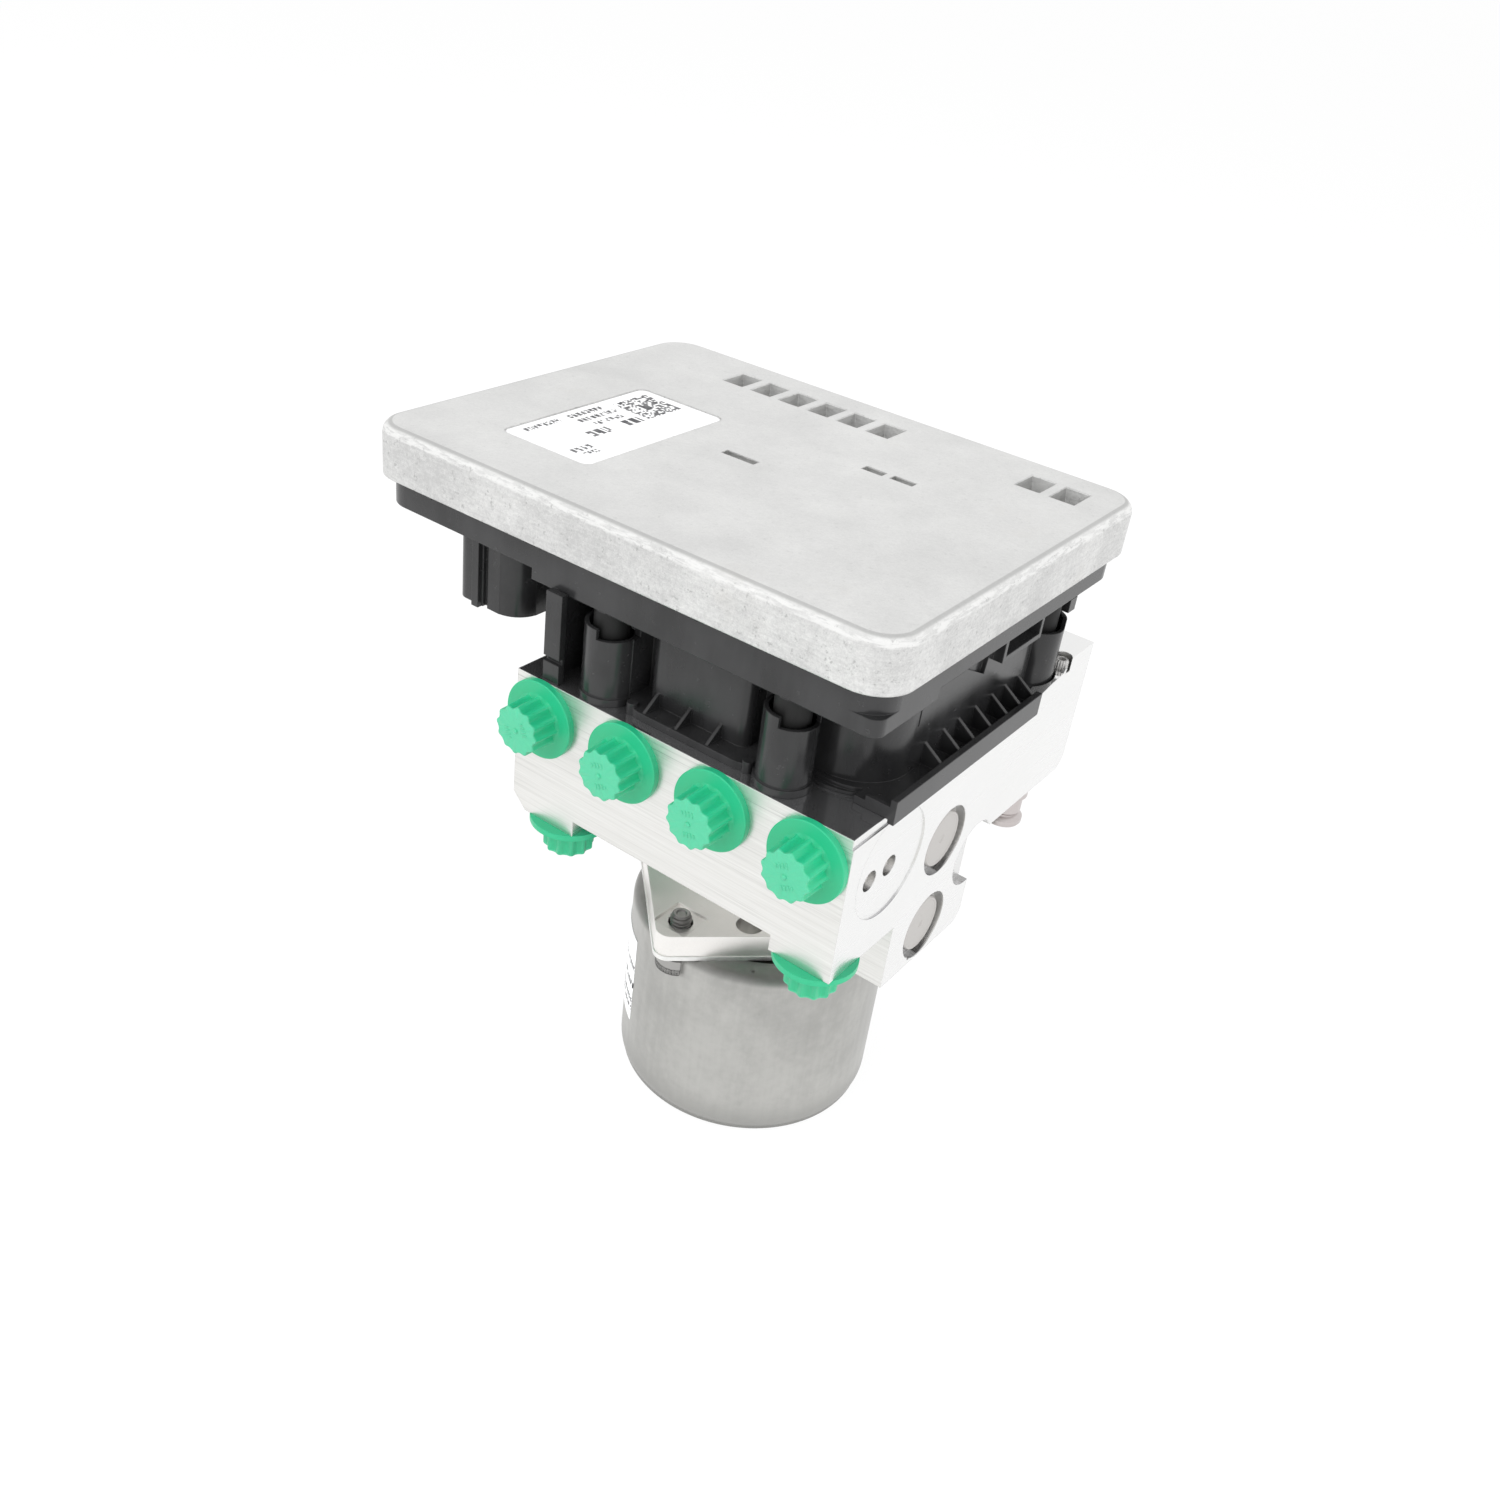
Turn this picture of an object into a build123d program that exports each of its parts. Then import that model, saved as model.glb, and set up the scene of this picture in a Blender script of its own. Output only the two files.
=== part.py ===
from build123d import *
import os

os.makedirs("parts", exist_ok=True)

# Frame: origin at the centre of the motor's flat end face, +Z up through the pump
# motor, valve block and control unit; the four wheel ports face -Y. Millimetres.

# Levels
CAN_TOP = 50.8
FLANGE_T = 1.2
PLATE_T = 6.0
BLOCK_BOTTOM = CAN_TOP + FLANGE_T + PLATE_T
BLOCK_TOP = 113.0
SHALLOW_Z = 79.9
FOOT_Z = 75.8
REAR_Z = 83.3
FLOOR_Z = 134.6
FLOOR_T = 2.0
LEFT_FLOOR_Z = 137.3
COVER_Z = 144.2
COVER_H = 12.3
COVER_T = 2.4

# Valve block outline
BLOCK_X0 = -47.8
BLOCK_X1 = 44.2
BLOCK_W = BLOCK_X1 - BLOCK_X0
BLOCK_XC = (BLOCK_X0 + BLOCK_X1) / 2
FRONT_Y = -42.3
STEP_Y = -16.2
DEEP_Y = 19.8
REAR_Y = 64.4
BLOCK_ROUND = 4.0
FOOT_INNER_LEFT = -28.9
FOOT_INNER_RIGHT = 28.3
PAD_TOP = 119.5
RAMP_TOP = 115.8
RAMP_Y = 43.0
PAD_FRONT_Y = 52.0
PAD_X0 = 28.0
PIN_XY = (42.0, 51.4)
PIN_HEAD_R = 2.0

# Ports and their transit caps
PORT_PITCH = 24.7
PORT_X0 = -39.7
PORT_Z = 103.6
PORT_R = 5.15
PORT_DEPTH = 13.0
FEED_R = 2.0
WHEEL_PORT_X = [PORT_X0 + PORT_PITCH * i for i in range(4)]
MASTER_PORT_X = [-35.7, 36.2]
MASTER_PORT_Y = -35.4
CAP_SHANK_R = 5.08
CAP_SHANK_L = 8.0
CAP_FLANGE_R = 9.65
CAP_FLANGE_T = 1.5
CAP_KNOB_R = 6.5
CAP_REACH = 9.6
CAP_FLUTES = 12
CAP_FLUTE_R = 0.85

# Valves, coils and sensor
VALVE_X = [-27.6, -9.2, 9.2, 27.6]
VALVE_ROWS = {"outlet": -16.0, "inlet": 3.0, "circuit": 22.0}
VALVE_BORE_R = 4.6
VALVE_MOUTH_R = 5.6
VALVE_MOUTH_DEPTH = 3.0
VALVE_DEPTH = 20.0
DOME_R = 3.0
DOME_TOP = 132.0
COIL_R = 8.0
COIL_BORE_R = 3.1
COIL_Z0 = 115.4
COIL_Z1 = 131.4
COIL_PIN = 0.8
COIL_PIN_SPAN = 6.0
SENSOR_XY = (0.0, 36.5)
SENSOR_R = 5.5
LEAD_XY = (-17.6, 13.2)
LEAD_R = 3.0
LEAD_HOLE_R = 3.3

# Pump
PUMP_Z = 67.2
PUMP_BORE_R = 5.4
PISTON_R = 4.0
PISTON_BORE_R = 4.05
PISTON_L = 16.0
CAVITY_R = 12.5
CAVITY_TOP = 77.0
ECCENTRICITY = 0.7
ECC_R = 5.4
ECC_RING_R = 8.4
ECC_GAP = 0.35
PISTON_TIP = ECC_RING_R + ECCENTRICITY + ECC_GAP
PISTON_END = PISTON_TIP + PISTON_L
PUMP_SPRING_WIRE = 0.42
PUMP_PLUG_R = 5.9
PUMP_PLUG_T = 5.0
PLUG_SUNK = 0.4
COUNTERBORE_R = 8.8
COUNTERBORE_T = 2.6
DRILLING_Y = [-24.4, -32.2]
DRILLING_R = 2.5
DRILLING_DEPTH = 6.2
DAMPER_Y = 1.2
DAMPER_Z = 91.1

# Low-pressure accumulators
ACC_XY = [(-19.0, 42.0), (19.0, 42.0)]
ACC_R = 9.0
ACC_BORE_TOP = 106.0
ACC_PISTON_R = 8.93
ACC_PISTON_H = 8.0
ACC_CAP_R = 9.8
ACC_CAP_T = 3.0

# Motor
CAN_R = 33.0
CAN_WALL = 1.4
CAN_END_ROUND = 5.0
CAN_SHOULDER = 2.2
CAN_MOUTH_R = 26.0
CAN_VENT_XY = (15.2, -25.1)
SHAFT_R = 4.0
MAGNET_RO = 31.3
MAGNET_RI = 26.2
CORE_R = 25.4
CORE_Z0 = 9.0
CORE_Z1 = 35.0
COMM_R = 9.0
COMM_Z0 = 39.5
COMM_Z1 = 47.0
BEARING_R = 9.5
MOTOR_SCREW_XY = [(-4.2, -29.5), (-4.2, 29.5)]
SCREW_HEAD_R = 4.6
SCREW_HEAD_H = 4.6
PLATE_CX = -4.0
PLATE_HALF = 38.7
PLATE_CORNER = 3.5
SCALLOP_R = 5.3
SCALLOP_H = 5.6

# Housing of the control unit
BASE_T = 1.8
WALL_T = 1.8
RIM_X0 = -95.4
RIM_X1 = 43.0
RIM_Y0 = -39.6
RIM_Y1 = 68.0
RIM_R = 7.5
RIM_TOP = 149.0
TRAY_X1 = 40.6
TRAY_STEP_Y = -14.0
TOWERS = [(-27.0, -35.6), (21.3, -35.6), (-36.9, 44.6), (36.8, 44.6)]
TOWER_R = 6.0
TOWER_TOP = 131.1
TOWER_MOUTH_R = 5.0
TOWER_MOUTH_DEPTH = 4.6
TUBE_R = 4.1
DRIVER_R = 3.15
TOWER_SEAT = 119.0
HOUSING_SCREW_R = 2.0
HOUSING_SCREW_HEAD_R = 3.0
CHAMBER_X0 = -39.5
CHAMBER_X1 = 39.4
CHAMBER_Y0 = -28.5
CHAMBER_Y1 = 46.4
CHAMBER_R = 12.4
BULGE_X0 = -17.0
BULGE_X1 = 10.1
BULGE_Y = -34.0
LEDGE_Y = -39.2
LEDGE_X0 = -21.3
LEDGE_X1 = 17.0
LEDGE_R = 6.8
LIP_X0 = 44.5
LIP_X1 = 46.0
LIP_Y0 = -31.0
LIP_Y1 = 33.4
LIP_TOP = 117.8
WINDOW_X1 = 41.8
BOARD_Z = 141.0
BOARD_T = 1.6

# Connector shroud
SHROUD_X0 = -77.1
SHROUD_X1 = -57.2
SHROUD_Y0 = -33.2
SHROUD_Y1 = 31.0
SHROUD_Z0 = 117.4
SHROUD_WALL = 1.8
PIN_Z0 = 126.0
PIN_CENTRE = (-67.2, -1.0)
PIN_PITCH_X = 5.0
PIN_PITCH_Y = 5.6
PIN_ROWS = 3
PIN_COUNT = 10
PIN_W = 0.8

# Cover
COVER_X0 = -98.1
COVER_X1 = 45.3
COVER_Y0 = -42.0
COVER_Y1 = 70.5
COVER_CORNER = 9.2
COVER_EDGE = 2.7
POCKET_Y0 = 50.6
POCKET_Y1 = 60.3
POCKET_PITCH = 9.0
POCKET_W = 6.7
POCKET_X0 = -67.1
POCKET_X1 = 20.0
POCKET_DEPTH = 3.6

CLEAR = 0.3


def export(part, name):
    """Label a finished piece and write it to its own file."""
    part.part.label = name
    export_step(part.part, "parts/" + name + ".step")


def box(x0, x1, y0, y1, z0, z1, mode=Mode.ADD):
    """Axis-aligned block between the given limits."""
    with Locations(((x0 + x1) / 2, (y0 + y1) / 2, (z0 + z1) / 2)):
        Box(x1 - x0, y1 - y0, z1 - z0, mode=mode)


def rod(x, y, z0, z1, radius, mode=Mode.ADD):
    """Vertical cylinder."""
    with Locations((x, y, (z0 + z1) / 2)):
        Cylinder(radius, z1 - z0, mode=mode)


def rod_x(x0, x1, y, z, radius, mode=Mode.ADD):
    """Cylinder along X."""
    with Locations(((x0 + x1) / 2, y, z)):
        Cylinder(radius, x1 - x0, rotation=(0, 90, 0), mode=mode)


def rod_y(x, y0, y1, z, radius, mode=Mode.ADD):
    """Cylinder along Y."""
    with Locations((x, (y0 + y1) / 2, z)):
        Cylinder(radius, y1 - y0, rotation=(90, 0, 0), mode=mode)


def rounded_slab(x0, x1, y0, y1, z0, z1, radius, mode=Mode.ADD):
    """Flat slab with rounded corners in plan."""
    with BuildSketch(Plane.XY.offset(z0)) as plan:
        with Locations(((x0 + x1) / 2, (y0 + y1) / 2)):
            RectangleRounded(x1 - x0, y1 - y0, radius)
    extrude(plan.sketch, amount=z1 - z0, mode=mode)


def diamond(z0, z1, half, corner, mode=Mode.ADD):
    """Square slab standing on its corner, as the motor's adapter plate does."""
    with BuildSketch(Plane.XY.offset(z0)) as plan:
        with Locations((PLATE_CX, 0)):
            RectangleRounded(half * 2 ** 0.5, half * 2 ** 0.5, corner, rotation=45)
    extrude(plan.sketch, amount=z1 - z0, mode=mode)


# ---------------------------------------------------------------- valve block
with BuildPart() as valve_block:
    with BuildSketch(Plane.YZ.offset(BLOCK_X0)):
        with BuildLine():
            Polyline(
                (FRONT_Y, BLOCK_TOP),
                (FRONT_Y, SHALLOW_Z),
                (STEP_Y, SHALLOW_Z),
                (STEP_Y, BLOCK_BOTTOM),
                (DEEP_Y, BLOCK_BOTTOM),
                (DEEP_Y, REAR_Z),
                (REAR_Y, REAR_Z),
                (REAR_Y, BLOCK_TOP),
                (FRONT_Y, BLOCK_TOP),
            )
        make_face()
    extrude(amount=BLOCK_W)
    # rounded lower rear corners of the deep part and of the rear part
    lower_edges = valve_block.edges().filter_by(Axis.X)
    rear_edges = lower_edges.filter_by_position(Axis.Y, DEEP_Y - 0.1, REAR_Y + 0.1)
    deep_corner = rear_edges.filter_by_position(Axis.Z, BLOCK_BOTTOM - 0.1, BLOCK_BOTTOM + 0.1)
    rear_corner = rear_edges.filter_by_position(Axis.Y, REAR_Y - 0.1, REAR_Y + 0.1)
    rear_corner = rear_corner.filter_by_position(Axis.Z, REAR_Z - 0.1, REAR_Z + 0.1)
    fillet(deep_corner + rear_corner, BLOCK_ROUND)
    # feet that carry the two master-cylinder ports
    box(BLOCK_X0, FOOT_INNER_LEFT, FRONT_Y, STEP_Y, FOOT_Z, SHALLOW_Z)
    box(FOOT_INNER_RIGHT, BLOCK_X1, FRONT_Y, STEP_Y, FOOT_Z, SHALLOW_Z)
    foot_edges = valve_block.edges().filter_by(Axis.Y)
    foot_edges = foot_edges.filter_by_position(Axis.Z, FOOT_Z - 0.1, FOOT_Z + 0.1)
    foot_left = foot_edges.filter_by_position(Axis.X, BLOCK_X0 - 0.1, BLOCK_X0 + 0.1)
    chamfer(foot_left, 3.8)
    # raised pad at the right rear corner, with a strip reaching forward beside the tower
    box(PAD_X0, BLOCK_X1, PAD_FRONT_Y, REAR_Y, BLOCK_TOP, PAD_TOP)
    with BuildSketch(Plane.YZ.offset(41.0)):
        Polygon((RAMP_Y - 7.6, BLOCK_TOP), (RAMP_Y - 7.6, BLOCK_TOP + 1.4), (RAMP_Y, RAMP_TOP),
                (PAD_FRONT_Y - 3.0, RAMP_TOP + 0.6), (PAD_FRONT_Y, PAD_TOP),
                (PAD_FRONT_Y + 1.0, PAD_TOP), (PAD_FRONT_Y + 1.0, BLOCK_TOP), align=None)
    extrude(amount=BLOCK_X1 - 41.0)
    rod(TOWERS[3][0], TOWERS[3][1], BLOCK_TOP, PAD_TOP + 1.0, TOWER_R + 0.6, mode=Mode.SUBTRACT)
    # relief band along the top of the right face
    box(BLOCK_X1 - 0.35, BLOCK_X1 + 1.0, FRONT_Y - 1.0, 35.0, BLOCK_TOP - 2.3, BLOCK_TOP + 0.5,
        mode=Mode.SUBTRACT)
    # wheel ports in the front face
    for x in WHEEL_PORT_X:
        rod_y(x, FRONT_Y - 1.0, FRONT_Y + PORT_DEPTH, PORT_Z, PORT_R, mode=Mode.SUBTRACT)
        rod_y(x, FRONT_Y + PORT_DEPTH - 0.5, FRONT_Y + PORT_DEPTH + 5.0, PORT_Z, FEED_R,
              mode=Mode.SUBTRACT)
    # master-cylinder ports, open downwards
    for x in MASTER_PORT_X:
        rod(x, MASTER_PORT_Y, FOOT_Z - 1.0, FOOT_Z + PORT_DEPTH, PORT_R, mode=Mode.SUBTRACT)
        rod(x, MASTER_PORT_Y, FOOT_Z + PORT_DEPTH - 0.5, FOOT_Z + PORT_DEPTH + 4.0, FEED_R,
            mode=Mode.SUBTRACT)
    # stepped valve bores from the top face
    for y in VALVE_ROWS.values():
        for x in VALVE_X:
            rod(x, y, BLOCK_TOP - VALVE_DEPTH, BLOCK_TOP + 1.0, VALVE_BORE_R, mode=Mode.SUBTRACT)
            rod(x, y, BLOCK_TOP - VALVE_MOUTH_DEPTH, BLOCK_TOP + 1.0, VALVE_MOUTH_R,
                mode=Mode.SUBTRACT)
    rod(SENSOR_XY[0], SENSOR_XY[1], BLOCK_TOP - 12.0, BLOCK_TOP + 1.0, SENSOR_R,
        mode=Mode.SUBTRACT)
    rod(LEAD_XY[0], LEAD_XY[1], BLOCK_BOTTOM - 1.0, BLOCK_TOP + 1.0, LEAD_HOLE_R,
        mode=Mode.SUBTRACT)
    # screw holes for the control unit
    for x, y in TOWERS:
        rod(x, y, BLOCK_TOP - 12.0, BLOCK_TOP + 1.0, HOUSING_SCREW_R, mode=Mode.SUBTRACT)
    # eccentric chamber and the two opposed pump bores
    rod(0, 0, BLOCK_BOTTOM - 1.0, CAVITY_TOP, CAVITY_R, mode=Mode.SUBTRACT)
    rod_x(BLOCK_X0 - 1.0, BLOCK_X1 + 1.0, 0, PUMP_Z, PISTON_BORE_R, mode=Mode.SUBTRACT)
    for side, face in ((1, BLOCK_X1), (-1, BLOCK_X0)):
        near = side * (PISTON_TIP + 11.0)
        rod_x(min(near, face + side), max(near, face + side), 0, PUMP_Z, PUMP_BORE_R,
              mode=Mode.SUBTRACT)
        seat = face - side * (COUNTERBORE_T + PUMP_PLUG_T - 1.0)
        rod_x(min(seat, face + side), max(seat, face + side), 0, PUMP_Z, PUMP_PLUG_R,
              mode=Mode.SUBTRACT)
        shelf = face - side * COUNTERBORE_T
        rod_x(min(shelf, face + side), max(shelf, face + side), 0, PUMP_Z, COUNTERBORE_R,
              mode=Mode.SUBTRACT)
        # damper chambers above the pump
        seat = face - side * 8.0
        rod_x(min(seat, face + side), max(seat, face + side), DAMPER_Y, DAMPER_Z, PUMP_BORE_R,
              mode=Mode.SUBTRACT)
        seat = face - side * (COUNTERBORE_T + PUMP_PLUG_T - 1.0)
        rod_x(min(seat, face + side), max(seat, face + side), DAMPER_Y, DAMPER_Z, PUMP_PLUG_R,
              mode=Mode.SUBTRACT)
        rod_x(min(shelf, face + side), max(shelf, face + side), DAMPER_Y, DAMPER_Z,
              COUNTERBORE_R, mode=Mode.SUBTRACT)
    # shallow turned pad and two plugged drillings on the right face
    rod_x(BLOCK_X1 - 0.3, BLOCK_X1 + 1.0, -24.4, 98.2, 13.3, mode=Mode.SUBTRACT)
    rod_x(BLOCK_X1 - 0.31, BLOCK_X1 + 1.0, -24.4, 98.2, 12.5, mode=Mode.SUBTRACT)
    for y in DRILLING_Y:
        rod_x(BLOCK_X1 - DRILLING_DEPTH, BLOCK_X1 + 1.0, y, 97.5, DRILLING_R,
              mode=Mode.SUBTRACT)
    # open counterbore cut by the rear face of the deep part
    rod_x(BLOCK_X1 - 2.4, BLOCK_X1 + 1.0, 18.6, 78.6, 8.6, mode=Mode.SUBTRACT)
    # drill marks below the plugs
    for y, z in ((-1.6, 84.2), (-4.4, 59.9)):
        rod_x(BLOCK_X1 - 0.6, BLOCK_X1 + 1.0, y, z, 0.7, mode=Mode.SUBTRACT)
    # accumulator bores from the rear underside
    for x, y in ACC_XY:
        rod(x, y, REAR_Z - 1.0, ACC_BORE_TOP, ACC_R, mode=Mode.SUBTRACT)
        rod(x, y, REAR_Z - 1.0, REAR_Z + ACC_CAP_T, ACC_CAP_R, mode=Mode.SUBTRACT)
    # threaded hole for the mounting stud and two more fixing holes
    rod(39.0, 46.0, REAR_Z - 1.0, REAR_Z + 13.0, 3.5, mode=Mode.SUBTRACT)
    rod(-42.0, 46.0, REAR_Z - 1.0, REAR_Z + 13.0, 3.5, mode=Mode.SUBTRACT)
    # hole for the locating pin on the pad, and for the adapter plate's two screws
    rod(PIN_XY[0], PIN_XY[1], RAMP_TOP - 5.0, RAMP_TOP + 2.0, 1.5, mode=Mode.SUBTRACT)
    rod(PIN_XY[0], PIN_XY[1], RAMP_TOP, PAD_TOP + 1.0, PIN_HEAD_R + 0.4, mode=Mode.SUBTRACT)
    for x in (-24.0, 24.0):
        rod(x, 7.0, BLOCK_BOTTOM - 1.0, BLOCK_BOTTOM + 2.8, 2.4, mode=Mode.SUBTRACT)
export(valve_block, "valve_block")

# ---------------------------------------------------------------- transit caps
with BuildPart() as cap_model:
    Cylinder(CAP_FLANGE_R, CAP_FLANGE_T, align=(Align.CENTER, Align.CENTER, Align.MIN))
    with Locations((0, 0, -CAP_SHANK_L)):
        Cylinder(CAP_SHANK_R, CAP_SHANK_L, align=(Align.CENTER, Align.CENTER, Align.MIN))
    # fluted knob
    with BuildSketch(Plane.XY.offset(CAP_FLANGE_T)):
        Circle(CAP_KNOB_R)
        with PolarLocations(CAP_KNOB_R + 0.25, CAP_FLUTES):
            Circle(CAP_FLUTE_R, mode=Mode.SUBTRACT)
    extrude(amount=CAP_REACH - CAP_FLANGE_T)
    # hollow shank and the moulding pip on the end
    with Locations((0, 0, -CAP_SHANK_L)):
        Cylinder(CAP_SHANK_R - 1.3, CAP_SHANK_L + 1.0,
                 align=(Align.CENTER, Align.CENTER, Align.MIN), mode=Mode.SUBTRACT)
    with Locations((0, 0, CAP_REACH)):
        Cone(0.75, 0.25, 0.45, align=(Align.CENTER, Align.CENTER, Align.MIN))

for i, x in enumerate(WHEEL_PORT_X):
    with BuildPart() as wheel_cap:
        with Locations(Plane(origin=(x, FRONT_Y, PORT_Z), x_dir=(1, 0, 0), z_dir=(0, -1, 0))):
            add(cap_model.part)
    export(wheel_cap, "cap_wheel_" + str(i + 1))

for i, x in enumerate(MASTER_PORT_X):
    with BuildPart() as master_cap:
        with Locations(Plane(origin=(x, MASTER_PORT_Y, FOOT_Z), x_dir=(1, 0, 0),
                             z_dir=(0, 0, -1))):
            add(cap_model.part)
    export(master_cap, "cap_master_" + str(i + 1))

# ---------------------------------------------------------------- hydraulic valves
for row, y in VALVE_ROWS.items():
    with BuildPart() as valves:
        for x in VALVE_X:
            rod(x, y, BLOCK_TOP - VALVE_DEPTH + 1.0, BLOCK_TOP - VALVE_MOUTH_DEPTH, VALVE_BORE_R)
            rod(x, y, BLOCK_TOP - VALVE_MOUTH_DEPTH, BLOCK_TOP, VALVE_MOUTH_R)
            rod(x, y, BLOCK_TOP, BLOCK_TOP + 1.8, DOME_R + 1.2)
            rod(x, y, BLOCK_TOP + 1.8, DOME_TOP - 0.9, DOME_R)
            with Locations((x, y, DOME_TOP - 0.9)):
                Cone(DOME_R, DOME_R - 1.2, 0.9, align=(Align.CENTER, Align.CENTER, Align.MIN))
    export(valves, "valves_" + row)
    with BuildPart() as coils:
        for x in VALVE_X:
            rod(x, y, COIL_Z0, COIL_Z1, COIL_R)
            rod(x, y, COIL_Z0 - 0.5, COIL_Z1 + 0.5, COIL_BORE_R, mode=Mode.SUBTRACT)
            for side in (-1, 1):
                px = x + side * COIL_PIN_SPAN / 2
                box(px - COIL_PIN / 2, px + COIL_PIN / 2, y + 4.4, y + 5.2, COIL_Z1 - 0.5, BOARD_Z)
    export(coils, "coils_" + row)

with BuildPart() as pressure_sensor:
    rod(SENSOR_XY[0], SENSOR_XY[1], BLOCK_TOP - 10.0, BLOCK_TOP, SENSOR_R)
    with BuildSketch(Plane.XY.offset(BLOCK_TOP)):
        with Locations(SENSOR_XY):
            RegularPolygon(6.4, 6)
    extrude(amount=3.0)
    rod(SENSOR_XY[0], SENSOR_XY[1], BLOCK_TOP + 3.0, BLOCK_TOP + 17.0, 5.0)
    for side in (-1, 0, 1):
        rod(SENSOR_XY[0] + 2.4 * side, SENSOR_XY[1], BLOCK_TOP + 17.0, BOARD_Z, 0.4)
export(pressure_sensor, "pressure_sensor")

# ---------------------------------------------------------------- pump elements and plugs
for side, name in ((1, "right"), (-1, "left")):
    tip = side * PISTON_TIP
    end = side * PISTON_END
    with BuildPart() as piston:
        rod_x(min(tip, end), max(tip, end), 0, PUMP_Z, PISTON_R)
        neck = side * (PISTON_END + 3.0)
        rod_x(min(end, neck), max(end, neck), 0, PUMP_Z, 1.6)
        head_edges = piston.faces().sort_by(Axis.X)[0 if side > 0 else -1].edges()
        chamfer(head_edges, 0.5)
    export(piston, "pump_piston_" + name)
    face = BLOCK_X1 if side > 0 else BLOCK_X0
    plug_inner = face - side * (COUNTERBORE_T + PUMP_PLUG_T - 1.0)
    spring_a = side * (PISTON_END + 0.4)
    spring_b = plug_inner - side * 0.4
    low = min(spring_a, spring_b) + PUMP_SPRING_WIRE
    high = max(spring_a, spring_b) - PUMP_SPRING_WIRE
    with BuildPart() as upright:
        with BuildLine():
            coil_path = Helix(pitch=(high - low) / 5, height=high - low, radius=3.2)
        with BuildSketch(Plane(origin=coil_path @ 0, z_dir=coil_path % 0)):
            Circle(PUMP_SPRING_WIRE)
        sweep(path=coil_path)
    with BuildPart() as spring:
        with Locations((low, 0, PUMP_Z)):
            add(upright.part, rotation=(0, 90, 0))
    export(spring, "pump_spring_" + name)

with BuildPart() as pump_plugs:
    for side, face in ((1, BLOCK_X1), (-1, BLOCK_X0)):
        inner = face - side * (COUNTERBORE_T + PUMP_PLUG_T - 1.0)
        disc = face - side * (COUNTERBORE_T + PLUG_SUNK)
        dish = face - side * (COUNTERBORE_T + PLUG_SUNK + 0.35)
        rod_x(min(inner, disc), max(inner, disc), 0, PUMP_Z, PUMP_PLUG_R)
        rod_x(min(dish, face), max(dish, face), 0, PUMP_Z, PUMP_PLUG_R - 1.3, mode=Mode.SUBTRACT)
export(pump_plugs, "pump_plugs")

with BuildPart() as damper_plugs:
    for side, face in ((1, BLOCK_X1), (-1, BLOCK_X0)):
        inner = face - side * (COUNTERBORE_T + PUMP_PLUG_T - 1.0)
        disc = face - side * (COUNTERBORE_T + PLUG_SUNK)
        dish = face - side * (COUNTERBORE_T + PLUG_SUNK + 0.35)
        rod_x(min(inner, disc), max(inner, disc), DAMPER_Y, DAMPER_Z, PUMP_PLUG_R)
        rod_x(min(dish, face), max(dish, face), DAMPER_Y, DAMPER_Z, PUMP_PLUG_R - 1.3,
              mode=Mode.SUBTRACT)
export(damper_plugs, "damper_plugs")

with BuildPart() as drilling_plugs:
    for y in DRILLING_Y:
        with Locations((BLOCK_X1 - DRILLING_DEPTH + DRILLING_R + 0.1, y, 97.5)):
            Sphere(DRILLING_R)
export(drilling_plugs, "drilling_plugs")

# ---------------------------------------------------------------- accumulators
for i, (x, y) in enumerate(ACC_XY):
    side_name = ("left", "right")[i]
    piston_z = ACC_BORE_TOP - 0.4 - ACC_PISTON_H
    with BuildPart() as acc_piston:
        rod(x, y, piston_z, piston_z + ACC_PISTON_H, ACC_PISTON_R)
        rod(x, y, piston_z - 0.1, piston_z + ACC_PISTON_H - 2.0, ACC_PISTON_R - 2.2,
            mode=Mode.SUBTRACT)
    export(acc_piston, "accumulator_piston_" + side_name)
    with BuildPart() as acc_spring:
        low = REAR_Z + ACC_CAP_T + 0.8
        high = piston_z + ACC_PISTON_H - 2.8
        with BuildLine(Plane(origin=(x, y, low), z_dir=(0, 0, 1))):
            acc_path = Helix(pitch=(high - low) / 4, height=high - low, radius=5.0)
        with BuildSketch(Plane(origin=acc_path @ 0, z_dir=acc_path % 0)):
            Circle(0.6)
        sweep(path=acc_path)
    export(acc_spring, "accumulator_spring_" + side_name)

with BuildPart() as accumulator_caps:
    for x, y in ACC_XY:
        rod(x, y, REAR_Z + 0.6, REAR_Z + ACC_CAP_T, ACC_CAP_R)
        rod(x, y, REAR_Z - 0.1, REAR_Z + 1.3, ACC_CAP_R - 2.6, mode=Mode.SUBTRACT)
        rod(x, y, REAR_Z + 0.5, REAR_Z + ACC_CAP_T + 0.1, 1.0, mode=Mode.SUBTRACT)
export(accumulator_caps, "accumulator_caps")

# ---------------------------------------------------------------- mounting stud, locating pin
with BuildPart() as mounting_stud:
    rod(39.0, 46.0, REAR_Z - 2.2, REAR_Z, 5.0)
    rod(39.0, 46.0, REAR_Z, REAR_Z + 11.0, 3.5)
    rod(39.0, 46.0, REAR_Z - 8.6, REAR_Z - 2.2, 4.1)
    rod(39.0, 46.0, REAR_Z - 10.6, REAR_Z - 8.6, 5.0)
    chamfer(mounting_stud.faces().sort_by(Axis.Z)[0].edges(), 0.6)
export(mounting_stud, "mounting_stud")

with BuildPart() as locating_pin:
    rod(PIN_XY[0], PIN_XY[1], RAMP_TOP - 4.0, RAMP_TOP, 1.5)
    with BuildSketch(Plane.XY.offset(RAMP_TOP)):
        with Locations(PIN_XY):
            Circle(PIN_HEAD_R)
            with PolarLocations(PIN_HEAD_R + 0.15, 10):
                Circle(0.3, mode=Mode.SUBTRACT)
    extrude(amount=3.4)
export(locating_pin, "locating_pin")

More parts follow.
